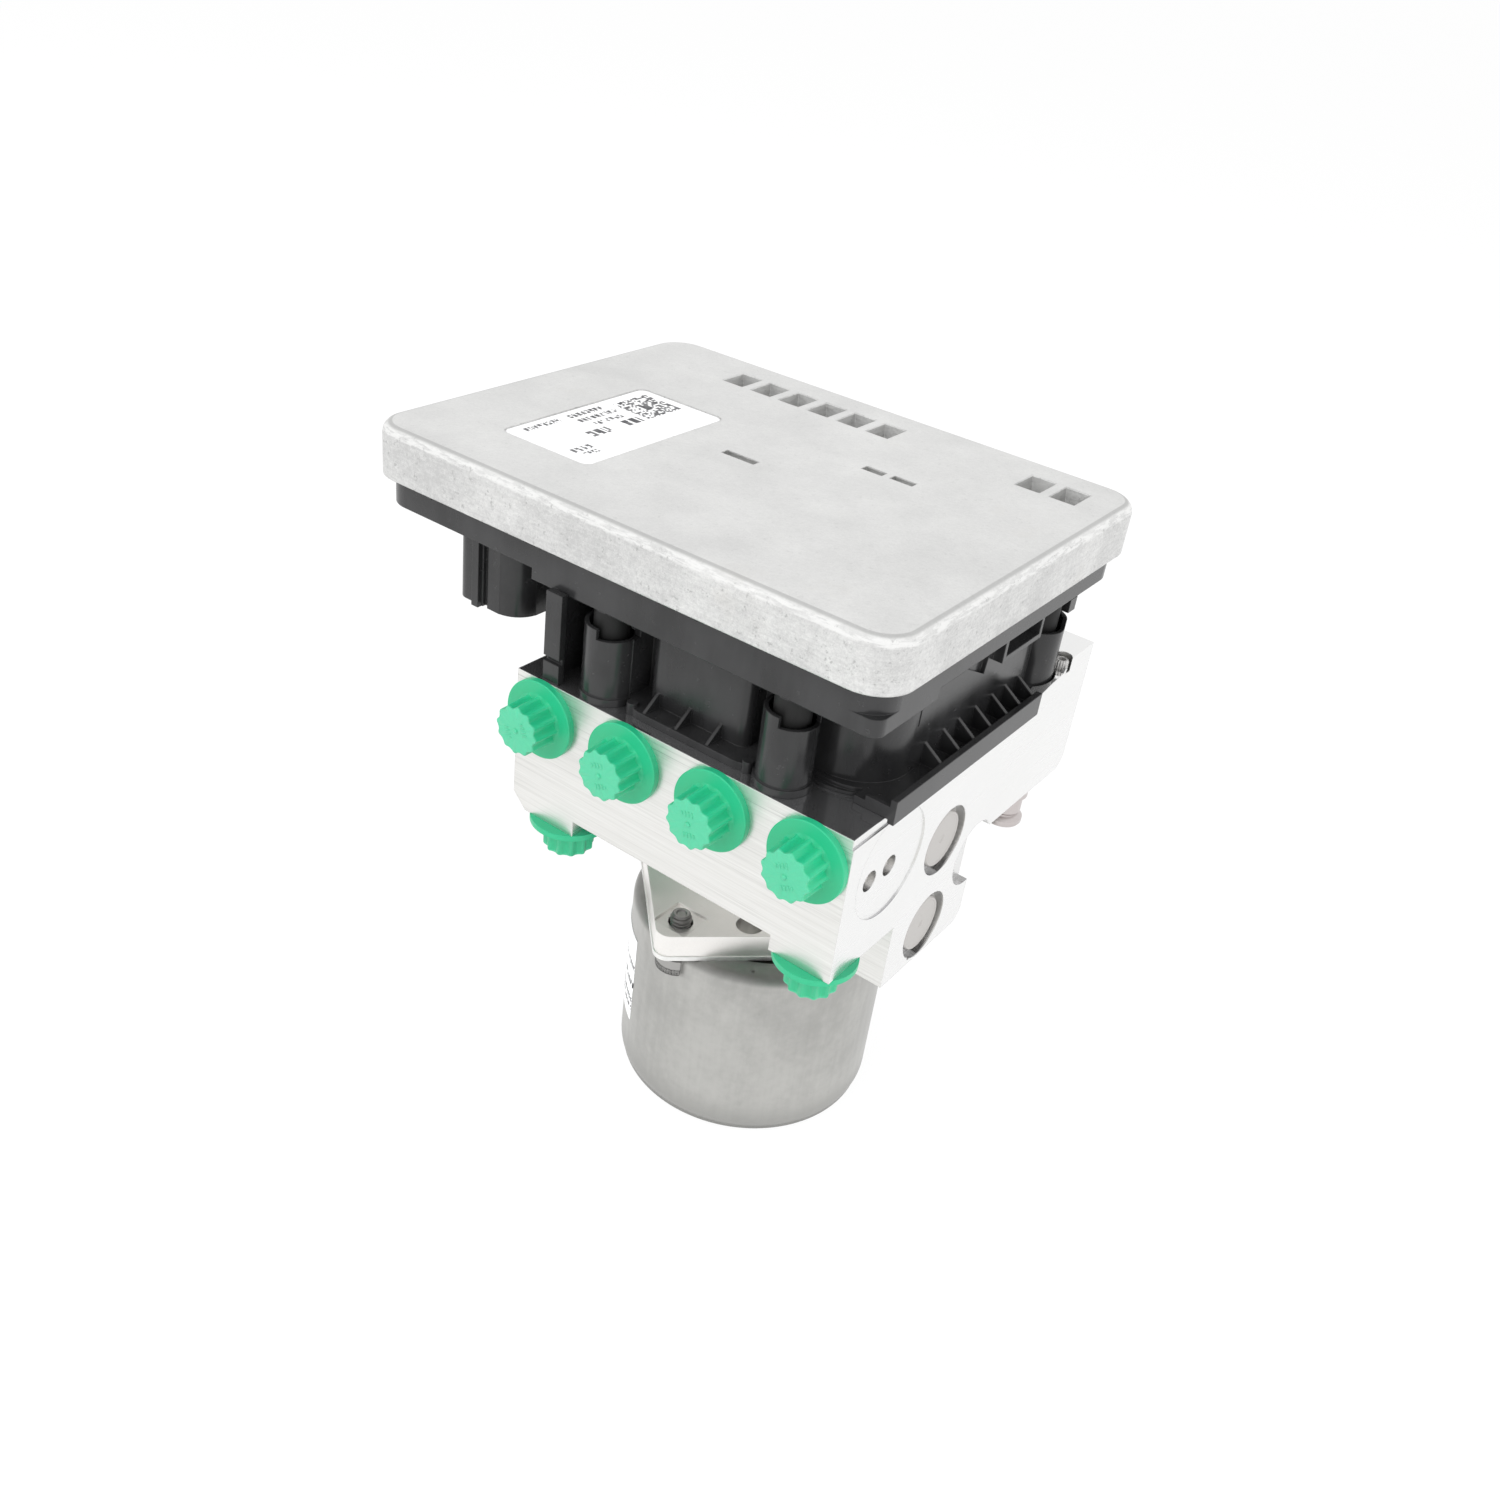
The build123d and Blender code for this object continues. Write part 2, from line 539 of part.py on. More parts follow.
# ---------------------------------------------------------------- motor
with BuildPart() as motor_can:
    rod(0, 0, 0, CAN_TOP, CAN_R)
    end_edge = motor_can.faces().sort_by(Axis.Z)[0].edges()
    fillet(end_edge, CAN_END_ROUND)
    shoulder_edge = motor_can.faces().sort_by(Axis.Z)[-1].edges()
    fillet(shoulder_edge, CAN_SHOULDER)
    # hollow, with the mouth rolled inwards
    rod(0, 0, CAN_WALL + 0.2, CAN_TOP - CAN_WALL - 1.2, CAN_R - CAN_WALL, mode=Mode.SUBTRACT)
    rod(0, 0, CAN_TOP - CAN_WALL - 1.3, CAN_TOP - CAN_WALL, CAN_R - CAN_WALL - 1.2,
        mode=Mode.SUBTRACT)
    rod(0, 0, CAN_TOP - CAN_WALL - 0.1, CAN_TOP + 1.0, CAN_MOUTH_R, mode=Mode.SUBTRACT)
    rod(CAN_VENT_XY[0], CAN_VENT_XY[1], CAN_TOP - 3.0, CAN_TOP + 1.0, 0.5, mode=Mode.SUBTRACT)
    # inner fillet region of the closed end
    with BuildSketch(Plane.XY.offset(CAN_WALL)):
        Circle(CAN_R - CAN_WALL + 0.6)
        Circle(CAN_R - CAN_WALL - 3.2, mode=Mode.SUBTRACT)
    extrude(amount=4.0)
    # bearing cup in the closed end
    rod(0, 0, CAN_WALL, 5.6, 9.4)
    rod(0, 0, CAN_WALL + 0.2, 6.6, 8.0, mode=Mode.SUBTRACT)
    # inward dents beside the screw heads
    for x, y in MOTOR_SCREW_XY:
        with BuildSketch(Plane.XY.offset(CAN_TOP - SCALLOP_H - 1.2)):
            Circle(CAN_R - CAN_SHOULDER - 0.1)
            with Locations((x, y)):
                Circle(SCALLOP_R + 1.3, mode=Mode.INTERSECT)
        extrude(amount=SCALLOP_H + 1.2)
    for x, y in MOTOR_SCREW_XY:
        rod(x, y, CAN_TOP - SCALLOP_H, CAN_TOP + 1.0, SCALLOP_R, mode=Mode.SUBTRACT)
export(motor_can, "motor_can")

with BuildPart() as motor_flange:
    diamond(CAN_TOP, CAN_TOP + FLANGE_T, PLATE_HALF + 0.3, PLATE_CORNER)
    rod(0, 0, CAN_TOP - 1.0, CAN_TOP + FLANGE_T + 1.0, BEARING_R, mode=Mode.SUBTRACT)
    for x, y in MOTOR_SCREW_XY:
        rod(x, y, CAN_TOP - 1.0, CAN_TOP + FLANGE_T + 1.0, 3.2, mode=Mode.SUBTRACT)
    rod(LEAD_XY[0], LEAD_XY[1], CAN_TOP - 1.0, CAN_TOP + FLANGE_T + 1.0, LEAD_HOLE_R,
        mode=Mode.SUBTRACT)
export(motor_flange, "motor_flange")

with BuildPart() as adapter_plate:
    diamond(CAN_TOP + FLANGE_T, BLOCK_BOTTOM, PLATE_HALF, PLATE_CORNER)
    rod(0, 0, CAN_TOP, BLOCK_BOTTOM + 1.0, 6.2, mode=Mode.SUBTRACT)
    rod(0, 0, CAN_TOP, BLOCK_BOTTOM - 1.6, BEARING_R, mode=Mode.SUBTRACT)
    for x, y in MOTOR_SCREW_XY:
        rod(x, y, CAN_TOP, BLOCK_BOTTOM + 1.0, 3.0, mode=Mode.SUBTRACT)
        box(x - 4.6, x + 4.6, y - 4.6, y + 4.6, BLOCK_BOTTOM - 0.8, BLOCK_BOTTOM + 1.0,
            mode=Mode.SUBTRACT)
    rod(LEAD_XY[0], LEAD_XY[1], CAN_TOP, BLOCK_BOTTOM + 1.0, LEAD_HOLE_R, mode=Mode.SUBTRACT)
    rod(9.0, -19.6, CAN_TOP, BLOCK_BOTTOM + 1.0, 3.3, mode=Mode.SUBTRACT)
    for x in (-24.0, 24.0):
        rod(x, 7.0, CAN_TOP, BLOCK_BOTTOM + 1.0, 2.4, mode=Mode.SUBTRACT)
        rod(x, 7.0, CAN_TOP, CAN_TOP + FLANGE_T + 2.4, 4.2, mode=Mode.SUBTRACT)
export(adapter_plate, "adapter_plate")

with BuildPart() as plate_screws:
    for x in (-24.0, 24.0):
        rod(x, 7.0, CAN_TOP + FLANGE_T + 0.2, CAN_TOP + FLANGE_T + 2.4, 4.0)
        rod(x, 7.0, CAN_TOP + FLANGE_T + 2.4, BLOCK_BOTTOM + 2.6, 2.4)
export(plate_screws, "plate_screws")

with BuildPart() as motor_screws:
    for x, y in MOTOR_SCREW_XY:
        rod(x, y, CAN_TOP - SCREW_HEAD_H, CAN_TOP, SCREW_HEAD_R)
        rod(x, y, CAN_TOP, BLOCK_BOTTOM + 2.2, 3.0)
        with BuildSketch(Plane.XY.offset(CAN_TOP - SCREW_HEAD_H)):
            with Locations((x, y)):
                RegularPolygon(2.6, 6)
        extrude(amount=2.4, mode=Mode.SUBTRACT)
    tips = motor_screws.faces().filter_by(Axis.Z).sort_by(Axis.Z)[-2:]
    chamfer(tips.edges(), 0.6)
export(motor_screws, "motor_screws")

with BuildPart() as magnets:
    for sign in (-1, 1):
        with BuildSketch(Plane.XY.offset(7.0)):
            Circle(MAGNET_RO)
            Circle(MAGNET_RI, mode=Mode.SUBTRACT)
            with Locations((0, sign * 24.0)):
                Rectangle(46, 30, mode=Mode.INTERSECT)
        extrude(amount=30.0)
export(magnets, "magnets")

with BuildPart() as motor_shaft:
    rod(0, 0, 1.9, 61.6, SHAFT_R)
    rod(ECCENTRICITY, 0, 61.6, 72.8, ECC_R)
    rod(0, 0, 72.8, 75.6, SHAFT_R)
    chamfer(motor_shaft.faces().sort_by(Axis.Z)[-1].edges(), 0.5)
export(motor_shaft, "motor_shaft")

with BuildPart() as eccentric_bearing:
    rod(ECCENTRICITY, 0, 62.4, 72.0, ECC_RING_R)
    rod(ECCENTRICITY, 0, 62.0, 72.4, ECC_R + 0.02, mode=Mode.SUBTRACT)
export(eccentric_bearing, "eccentric_bearing")

with BuildPart() as armature_core:
    with BuildSketch(Plane.XY.offset(CORE_Z0)):
        Circle(CORE_R)
        Circle(SHAFT_R, mode=Mode.SUBTRACT)
        with PolarLocations(19.0, 12):
            Rectangle(9.0, 4.0, mode=Mode.SUBTRACT)
        with PolarLocations(24.5, 12):
            Rectangle(3.0, 1.4, mode=Mode.SUBTRACT)
    extrude(amount=CORE_Z1 - CORE_Z0)
export(armature_core, "armature_core")

with BuildPart() as armature_windings:
    with BuildSketch(Plane.XY.offset(CORE_Z0 - 2.6)):
        Circle(22.8)
        Circle(12.0, mode=Mode.SUBTRACT)
    extrude(amount=2.4)
    with BuildSketch(Plane.XY.offset(CORE_Z1 + 0.2)):
        Circle(22.8)
        Circle(12.0, mode=Mode.SUBTRACT)
    extrude(amount=3.0)
    with BuildSketch(Plane.XY.offset(CORE_Z0 - 0.3)):
        with PolarLocations(18.9, 12):
            Rectangle(8.2, 3.4)
    extrude(amount=CORE_Z1 - CORE_Z0 + 0.7)
export(armature_windings, "armature_windings")

with BuildPart() as commutator:
    rod(0, 0, COMM_Z0, COMM_Z1, COMM_R)
    rod(0, 0, COMM_Z0, COMM_Z0 + 1.2, COMM_R + 1.2)
    rod(0, 0, COMM_Z0 - 1.0, COMM_Z1 + 1.0, SHAFT_R, mode=Mode.SUBTRACT)
    with PolarLocations(COMM_R, 12):
        with Locations((0, 0, (COMM_Z0 + COMM_Z1) / 2 + 0.8)):
            Box(1.0, 0.6, COMM_Z1 - COMM_Z0, mode=Mode.SUBTRACT)
export(commutator, "commutator")

with BuildPart() as lower_bearing:
    rod(0, 0, CAN_WALL + 0.2, CAN_WALL + 4.2, 8.0)
    rod(0, 0, CAN_WALL, CAN_WALL + 4.6, SHAFT_R + 0.03, mode=Mode.SUBTRACT)
export(lower_bearing, "lower_bearing")

with BuildPart() as upper_bearing:
    rod(0, 0, 50.0, BLOCK_BOTTOM - 1.6, BEARING_R)
    rod(0, 0, 49.0, BLOCK_BOTTOM, SHAFT_R + 0.03, mode=Mode.SUBTRACT)
export(upper_bearing, "upper_bearing")

with BuildPart() as brush_holder:
    with BuildSketch(Plane.XY.offset(47.2)):
        Circle(CAN_R - CAN_WALL - 1.8)
        Circle(SHAFT_R + 1.4, mode=Mode.SUBTRACT)
        with Locations(MOTOR_SCREW_XY):
            Circle(SCALLOP_R + 1.6, mode=Mode.SUBTRACT)
        with Locations(LEAD_XY):
            Circle(LEAD_HOLE_R, mode=Mode.SUBTRACT)
    extrude(amount=1.6)
    for side in (-1, 1):
        x0 = min(side * 11.0, side * 23.0)
        x1 = max(side * 11.0, side * 23.0)
        box(x0, x1, -4.2, 4.2, 39.8, 47.3)
        box(x0 - 1.0, x1 + 1.0, -3.05, 3.05, 41.0, 46.6, mode=Mode.SUBTRACT)
export(brush_holder, "brush_holder")

with BuildPart() as brushes:
    for side in (-1, 1):
        x0 = min(side * (COMM_R + 0.15), side * 18.0)
        x1 = max(side * (COMM_R + 0.15), side * 18.0)
        box(x0, x1, -3.0, 3.0, 41.1, 46.5)
export(brushes, "brushes")

with BuildPart() as brush_spring:
    with BuildLine():
        brush_path = Helix(pitch=1.25, height=3.75, radius=1.7)
    with BuildSketch(Plane(origin=brush_path @ 0, z_dir=brush_path % 0)):
        Circle(0.28)
    sweep(path=brush_path)

with BuildPart() as brush_springs:
    with Locations((18.4, 0, 43.8), (-22.15, 0, 43.8)):
        add(brush_spring.part, rotation=(0, 90, 0))
export(brush_springs, "brush_springs")

with BuildPart() as motor_lead:
    rod(LEAD_XY[0], LEAD_XY[1], 50.2, FLOOR_Z + FLOOR_T + 1.0, LEAD_R)
    for side in (-1, 1):
        rod(LEAD_XY[0] + 1.3 * side, LEAD_XY[1], FLOOR_Z + FLOOR_T + 1.0, BOARD_Z, 0.5)
export(motor_lead, "motor_lead")

with BuildPart() as motor_label:
    with BuildSketch(Plane.XY.offset(16.0)):
        Circle(CAN_R + 0.18)
        Circle(CAN_R + 0.03, mode=Mode.SUBTRACT)
        with Locations((-27.0, -20.0)):
            Rectangle(20, 16, rotation=0, mode=Mode.INTERSECT)
    extrude(amount=26.0)
export(motor_label, "motor_label")

# ---------------------------------------------------------------- control-unit housing
with BuildPart() as ecu_housing:
    # foot plate lying on the block
    rounded_slab(CHAMBER_X0 - 1.6, 41.2, CHAMBER_Y0 - 1.4, CHAMBER_Y1 + 1.6, BLOCK_TOP,
                 BLOCK_TOP + BASE_T, CHAMBER_R)
    rounded_slab(CHAMBER_X0 - 2.7, 41.2, CHAMBER_Y0 - 2.5, CHAMBER_Y1 + 1.6, BLOCK_TOP,
                 BLOCK_TOP + 0.8, CHAMBER_R + 1.1)
    rounded_slab(LEDGE_X0, LEDGE_X1, LEDGE_Y, CHAMBER_Y0 + 8.0, BLOCK_TOP, BLOCK_TOP + BASE_T,
                 LEDGE_R)
    box(36.0, LIP_X1, LIP_Y0, LIP_Y1, BLOCK_TOP, BLOCK_TOP + BASE_T)
    # chamber walls
    rounded_slab(CHAMBER_X0, CHAMBER_X1, CHAMBER_Y0, CHAMBER_Y1, BLOCK_TOP + BASE_T,
                 FLOOR_Z + 1.0, CHAMBER_R)
    rounded_slab(BULGE_X0, BULGE_X1, BULGE_Y, CHAMBER_Y0 + 6.0, BLOCK_TOP + BASE_T,
                 FLOOR_Z + 1.0, 2.6)
    # screw towers with their feet
    for x, y in TOWERS:
        rod(x, y, BLOCK_TOP, BLOCK_TOP + BASE_T, TOWER_R + 0.5)
        rod(x, y, BLOCK_TOP, TOWER_TOP, TOWER_R)
    for x, y in TOWERS[:2]:
        box(x - 2.0, x + 2.0, y, CHAMBER_Y0 + 2.0, BLOCK_TOP, TOWER_TOP - 1.0)
    box(-37.4, -34.8, CHAMBER_Y1 - 10.0, 44.6, BLOCK_TOP, TOWER_TOP - 1.0)
    box(34.8, 37.4, CHAMBER_Y1 - 10.0, 44.6, BLOCK_TOP, TOWER_TOP - 1.0)
    # vertical rib beside the left front tower, and the leg at the left front corner
    box(-21.8, -20.8, -35.4, CHAMBER_Y0 + 2.0, BLOCK_TOP, FLOOR_Z + 0.5)
    box(-40.9, -36.3, -41.7, -39.8, BLOCK_TOP, FLOOR_Z + 0.5)
    box(-40.9, -39.5, -41.0, CHAMBER_Y0 + 14.0, BLOCK_TOP, FLOOR_Z + 0.5)
    box(-41.2, -36.0, -41.9, -39.9, 117.9, 119.3, mode=Mode.SUBTRACT)
    box(-40.9, -36.3, -40.6, -39.8, 117.9, 119.3)
    # tray floor, deepened over the block, and rim of the control unit
    with BuildSketch(Plane.XY.offset(FLOOR_Z)) as deep_tray:
        Polygon((-47.4, RIM_Y0), (RIM_X1, RIM_Y0), (RIM_X1, TRAY_STEP_Y - 2.0),
                (TRAY_X1, TRAY_STEP_Y), (TRAY_X1, RIM_Y1), (-47.4, RIM_Y1), align=None)
        fillet(deep_tray.vertices().group_by(Axis.Y)[0].sort_by(Axis.X)[-1], 3.0)
    extrude(amount=FLOOR_T + 2.0)
    rounded_slab(RIM_X0, RIM_X1, RIM_Y0, RIM_Y1, LEFT_FLOOR_Z, RIM_TOP, RIM_R)
    rounded_slab(RIM_X0 + WALL_T, RIM_X1 - WALL_T, RIM_Y0 + WALL_T, RIM_Y1 - WALL_T,
                 LEFT_FLOOR_Z + FLOOR_T, RIM_TOP + 1.0, RIM_R - WALL_T, mode=Mode.SUBTRACT)
    rounded_slab(-45.6, TRAY_X1 - WALL_T, RIM_Y0 + WALL_T, RIM_Y1 - WALL_T,
                 FLOOR_Z + FLOOR_T, RIM_TOP + 1.0, 2.0, mode=Mode.SUBTRACT)
    # hollow of the chamber, open to the block
    rounded_slab(CHAMBER_X0 + WALL_T, CHAMBER_X1 - WALL_T, CHAMBER_Y0 + WALL_T,
                 CHAMBER_Y1 - WALL_T, BLOCK_TOP - 1.0, FLOOR_Z, CHAMBER_R - WALL_T,
                 mode=Mode.SUBTRACT)
    rounded_slab(BULGE_X0 + WALL_T, BULGE_X1 - WALL_T, BULGE_Y + WALL_T, CHAMBER_Y0 + 4.0,
                 BLOCK_TOP - 1.0, FLOOR_Z, 0.8, mode=Mode.SUBTRACT)
    # triangular ribs on the front ledge
    for x in (-13.9, -5.1, 3.4):
        with BuildSketch(Plane.YZ.offset(x - 0.4)):
            Polygon((BULGE_Y + 0.2, BLOCK_TOP + BASE_T - 0.1), (BULGE_Y + 0.2, BLOCK_TOP + 5.4),
                    (LEDGE_Y + 0.3, BLOCK_TOP + BASE_T - 0.1), align=None)
        extrude(amount=0.8)
    # small round catches where the ledge meets the towers
    for x in (LEDGE_X0 + 3.4, LEDGE_X1 - 3.2):
        rod(x, LEDGE_Y + 1.4, BLOCK_TOP, BLOCK_TOP + BASE_T + 0.9, 1.3)
    # lip over the block's right edge with its ribs and end wall
    box(LIP_X0, LIP_X1, LIP_Y0, LIP_Y1, BLOCK_TOP - 0.9, LIP_TOP)
    box(38.6, LIP_X1, LIP_Y0, LIP_Y0 + 1.2, BLOCK_TOP + 0.2, BLOCK_TOP + 3.0)
    for y in (-9.8, -2.0, 4.6, 12.2, 20.0, 26.3, 32.8):
        with BuildSketch(Plane.XZ.offset(-(y - 0.45))):
            Polygon((CHAMBER_X1 - 0.3, BLOCK_TOP + 1.0), (CHAMBER_X1 - 0.3, 120.3),
                    (LIP_X0 + 0.2, 116.4), (LIP_X0 + 0.2, BLOCK_TOP + 1.0), align=None)
        extrude(amount=-0.9)
    # snap pocket with its window, gusset and slit on the right wall
    box(CHAMBER_X1 - 0.5, WINDOW_X1, 15.6, 34.2, 130.6, LEFT_FLOOR_Z + 0.3)
    box(CHAMBER_X1 - 0.9, WINDOW_X1 + 1.0, 16.9, 33.0, 131.9, 135.9, mode=Mode.SUBTRACT)
    with BuildSketch(Plane.YZ.offset(CHAMBER_X1 - 1.1)):
        Polygon((2.2, 133.4), (13.6, 134.2), (12.6, 128.1), align=None)
    extrude(amount=3.0, mode=Mode.SUBTRACT)
    box(CHAMBER_X1 - 0.8, CHAMBER_X1 + 0.6, -14.95, -14.45, 125.9, 131.7, mode=Mode.SUBTRACT)
    # tab under the rim behind the right rear tower
    box(38.4, 41.4, 49.0, 52.4, FLOOR_Z - 3.0, FLOOR_Z + 0.5)
    # connector shroud, open downwards
    with BuildSketch(Plane.XY.offset(SHROUD_Z0)):
        with Locations(((SHROUD_X0 + SHROUD_X1) / 2, (SHROUD_Y0 + SHROUD_Y1) / 2)):
            RectangleRounded(SHROUD_X1 - SHROUD_X0, SHROUD_Y1 - SHROUD_Y0, 3.0)
        with BuildLine():
            Polyline((SHROUD_X1 - 7.0, SHROUD_Y0 - 1.0), (SHROUD_X1 + 1.0, SHROUD_Y0 - 1.0),
                     (SHROUD_X1 + 1.0, SHROUD_Y0 + 7.0), (SHROUD_X1 - 7.0, SHROUD_Y0 - 1.0))
        make_face(mode=Mode.SUBTRACT)
        with Locations((SHROUD_X1 - 7.0, SHROUD_Y0 + 7.0)):
            Circle(7.0)
    extrude(amount=LEFT_FLOOR_Z - SHROUD_Z0 + 0.4)
    rounded_slab(SHROUD_X0 + SHROUD_WALL, SHROUD_X1 - SHROUD_WALL, SHROUD_Y0 + SHROUD_WALL + 2.0,
                 SHROUD_Y1 - SHROUD_WALL, SHROUD_Z0 - 1.0, LEFT_FLOOR_Z, 2.4,
                 mode=Mode.SUBTRACT)
    # key rib and groove on the front end of the shroud
    box(-70.9, -68.8, -34.6, SHROUD_Y0 + 1.0, SHROUD_Z0, LEFT_FLOOR_Z + 0.2)
    box(-68.5, -67.1, -34.8, SHROUD_Y0 + 1.0, SHROUD_Z0 - 1.0, LEFT_FLOOR_Z - 2.0,
        mode=Mode.SUBTRACT)
    # small fixing tabs along the rim, below the cover
    for x in (-80.0, -50.4, -3.0):
        box(x - 1.6, x + 1.6, RIM_Y0 - 0.7, RIM_Y0 + 1.0, COVER_Z - 1.4, COVER_Z - 0.3)
    # slots for the coil terminals, sensor pins and motor lead
    for y in VALVE_ROWS.values():
        for x in VALVE_X:
            box(x - 4.4, x + 4.4, y + 3.8, y + 5.8, FLOOR_Z - 1.0, FLOOR_Z + FLOOR_T + 1.0,
                mode=Mode.SUBTRACT)
    box(SENSOR_XY[0] - 3.8, SENSOR_XY[0] + 3.8, SENSOR_XY[1] - 1.0, SENSOR_XY[1] + 1.0,
        FLOOR_Z - 1.0, FLOOR_Z + FLOOR_T + 1.0, mode=Mode.SUBTRACT)
    rod(LEAD_XY[0], LEAD_XY[1], FLOOR_Z - 1.0, FLOOR_Z + FLOOR_T + 1.0, LEAD_HOLE_R,
        mode=Mode.SUBTRACT)
    # tower bores, seats, driver holes and the notch beside each tower's mouth
    for x, y in TOWERS:
        rod(x, y, BLOCK_TOP - 1.0, TOWER_SEAT + 1.0, HOUSING_SCREW_R + 0.3, mode=Mode.SUBTRACT)
        rod(x, y, TOWER_TOP - TOWER_MOUTH_DEPTH, TOWER_TOP + 1.0, TOWER_MOUTH_R,
            mode=Mode.SUBTRACT)
    for x, y in TOWERS:
        box(x + 0.7, x + TOWER_R + 1.0, y - TOWER_R - 1.0, y + 2.4, TOWER_TOP - 2.3,
            TOWER_TOP + 0.2, mode=Mode.SUBTRACT)
    for x, y in TOWERS:
        rod(x, y, TOWER_TOP - TOWER_MOUTH_DEPTH - 0.1, FLOOR_Z + 0.1, TUBE_R)
        rod(x, y, TOWER_SEAT, FLOOR_Z + FLOOR_T + 3.0, DRIVER_R, mode=Mode.SUBTRACT)
    # holes for the moulded-in connector pins
    with BuildSketch(Plane.XY.offset(LEFT_FLOOR_Z - 1.0)):
        with Locations(PIN_CENTRE):
            with GridLocations(PIN_PITCH_X, PIN_PITCH_Y, PIN_ROWS, PIN_COUNT):
                Rectangle(PIN_W, PIN_W)
    extrude(amount=FLOOR_T + 2.0, mode=Mode.SUBTRACT)
    # board pads
    for x, y in ((-88.0, -32.0), (-88.0, 60.0), (36.0, -32.0), (36.0, 60.0), (-52.0, 14.0)):
        rod(x, y, LEFT_FLOOR_Z + 1.0, BOARD_Z, 2.6)
    for x, y in ((36.0, -32.0), (36.0, 60.0)):
        rod(x, y, FLOOR_Z + FLOOR_T - 0.2, BOARD_Z, 2.6)
export(ecu_housing, "ecu_housing")

with BuildPart() as housing_screws:
    for x, y in TOWERS:
        rod(x, y, BLOCK_TOP - 10.0, TOWER_SEAT, HOUSING_SCREW_R)
        rod(x, y, TOWER_SEAT, TOWER_SEAT + 3.6, HOUSING_SCREW_HEAD_R)
        with BuildSketch(Plane.XY.offset(TOWER_SEAT + 3.6)):
            with Locations((x, y)):
                RegularPolygon(1.7, 6)
        extrude(amount=-2.0, mode=Mode.SUBTRACT)
export(housing_screws, "housing_screws")

with BuildPart() as housing_gasket:
    with BuildSketch(Plane.XY.offset(BLOCK_TOP)):
        with Locations(((CHAMBER_X0 + CHAMBER_X1) / 2, (CHAMBER_Y0 + CHAMBER_Y1) / 2)):
            RectangleRounded(CHAMBER_X1 - CHAMBER_X0 - 2 * WALL_T - 0.2,
                             CHAMBER_Y1 - CHAMBER_Y0 - 2 * WALL_T - 0.2, 10.4)
            RectangleRounded(CHAMBER_X1 - CHAMBER_X0 - 2 * WALL_T - 2.4,
                             CHAMBER_Y1 - CHAMBER_Y0 - 2 * WALL_T - 2.4, 9.3, mode=Mode.SUBTRACT)
    extrude(amount=1.4)
export(housing_gasket, "housing_gasket")

with BuildPart() as connector_pins:
    with BuildSketch(Plane.XY.offset(PIN_Z0)):
        with Locations(PIN_CENTRE):
            with GridLocations(PIN_PITCH_X, PIN_PITCH_Y, PIN_ROWS, PIN_COUNT):
                Rectangle(PIN_W, PIN_W)
    extrude(amount=BOARD_Z - PIN_Z0)
export(connector_pins, "connector_pins")

with BuildPart() as circuit_board:
    rounded_slab(RIM_X0 + 3.2, RIM_X1 - 3.2, RIM_Y0 + 3.2, RIM_Y1 - 3.2, BOARD_Z,
                 BOARD_Z + BOARD_T, 5.0)
export(circuit_board, "circuit_board")

with BuildPart() as board_chips:
    box(-40.0, -22.0, -10.0, 8.0, BOARD_Z + BOARD_T, 144.6)
    box(-5.0, 7.0, 12.0, 24.0, BOARD_Z + BOARD_T, 144.4)
    box(15.0, 25.0, -20.0, -12.0, BOARD_Z + BOARD_T, 144.6)
export(board_chips, "board_chips")

with BuildPart() as board_capacitors:
    for x, y in ((-84.0, 50.0), (-84.0, 38.0)):
        rod(x, y, BOARD_Z + BOARD_T, 150.0, 4.5)
export(board_capacitors, "board_capacitors")

# ---------------------------------------------------------------- cover, seal and label
with BuildPart() as cover_seal:
    with BuildSketch(Plane.XY.offset(RIM_TOP)):
        with Locations(((RIM_X0 + RIM_X1) / 2, (RIM_Y0 + RIM_Y1) / 2)):
            RectangleRounded(RIM_X1 - RIM_X0 - 0.2, RIM_Y1 - RIM_Y0 - 0.2, RIM_R - 0.1)
            RectangleRounded(RIM_X1 - RIM_X0 - 3.4, RIM_Y1 - RIM_Y0 - 3.4, RIM_R - 1.7,
                             mode=Mode.SUBTRACT)
    extrude(amount=COVER_Z + COVER_H - COVER_T - RIM_TOP)
export(cover_seal, "cover_seal")

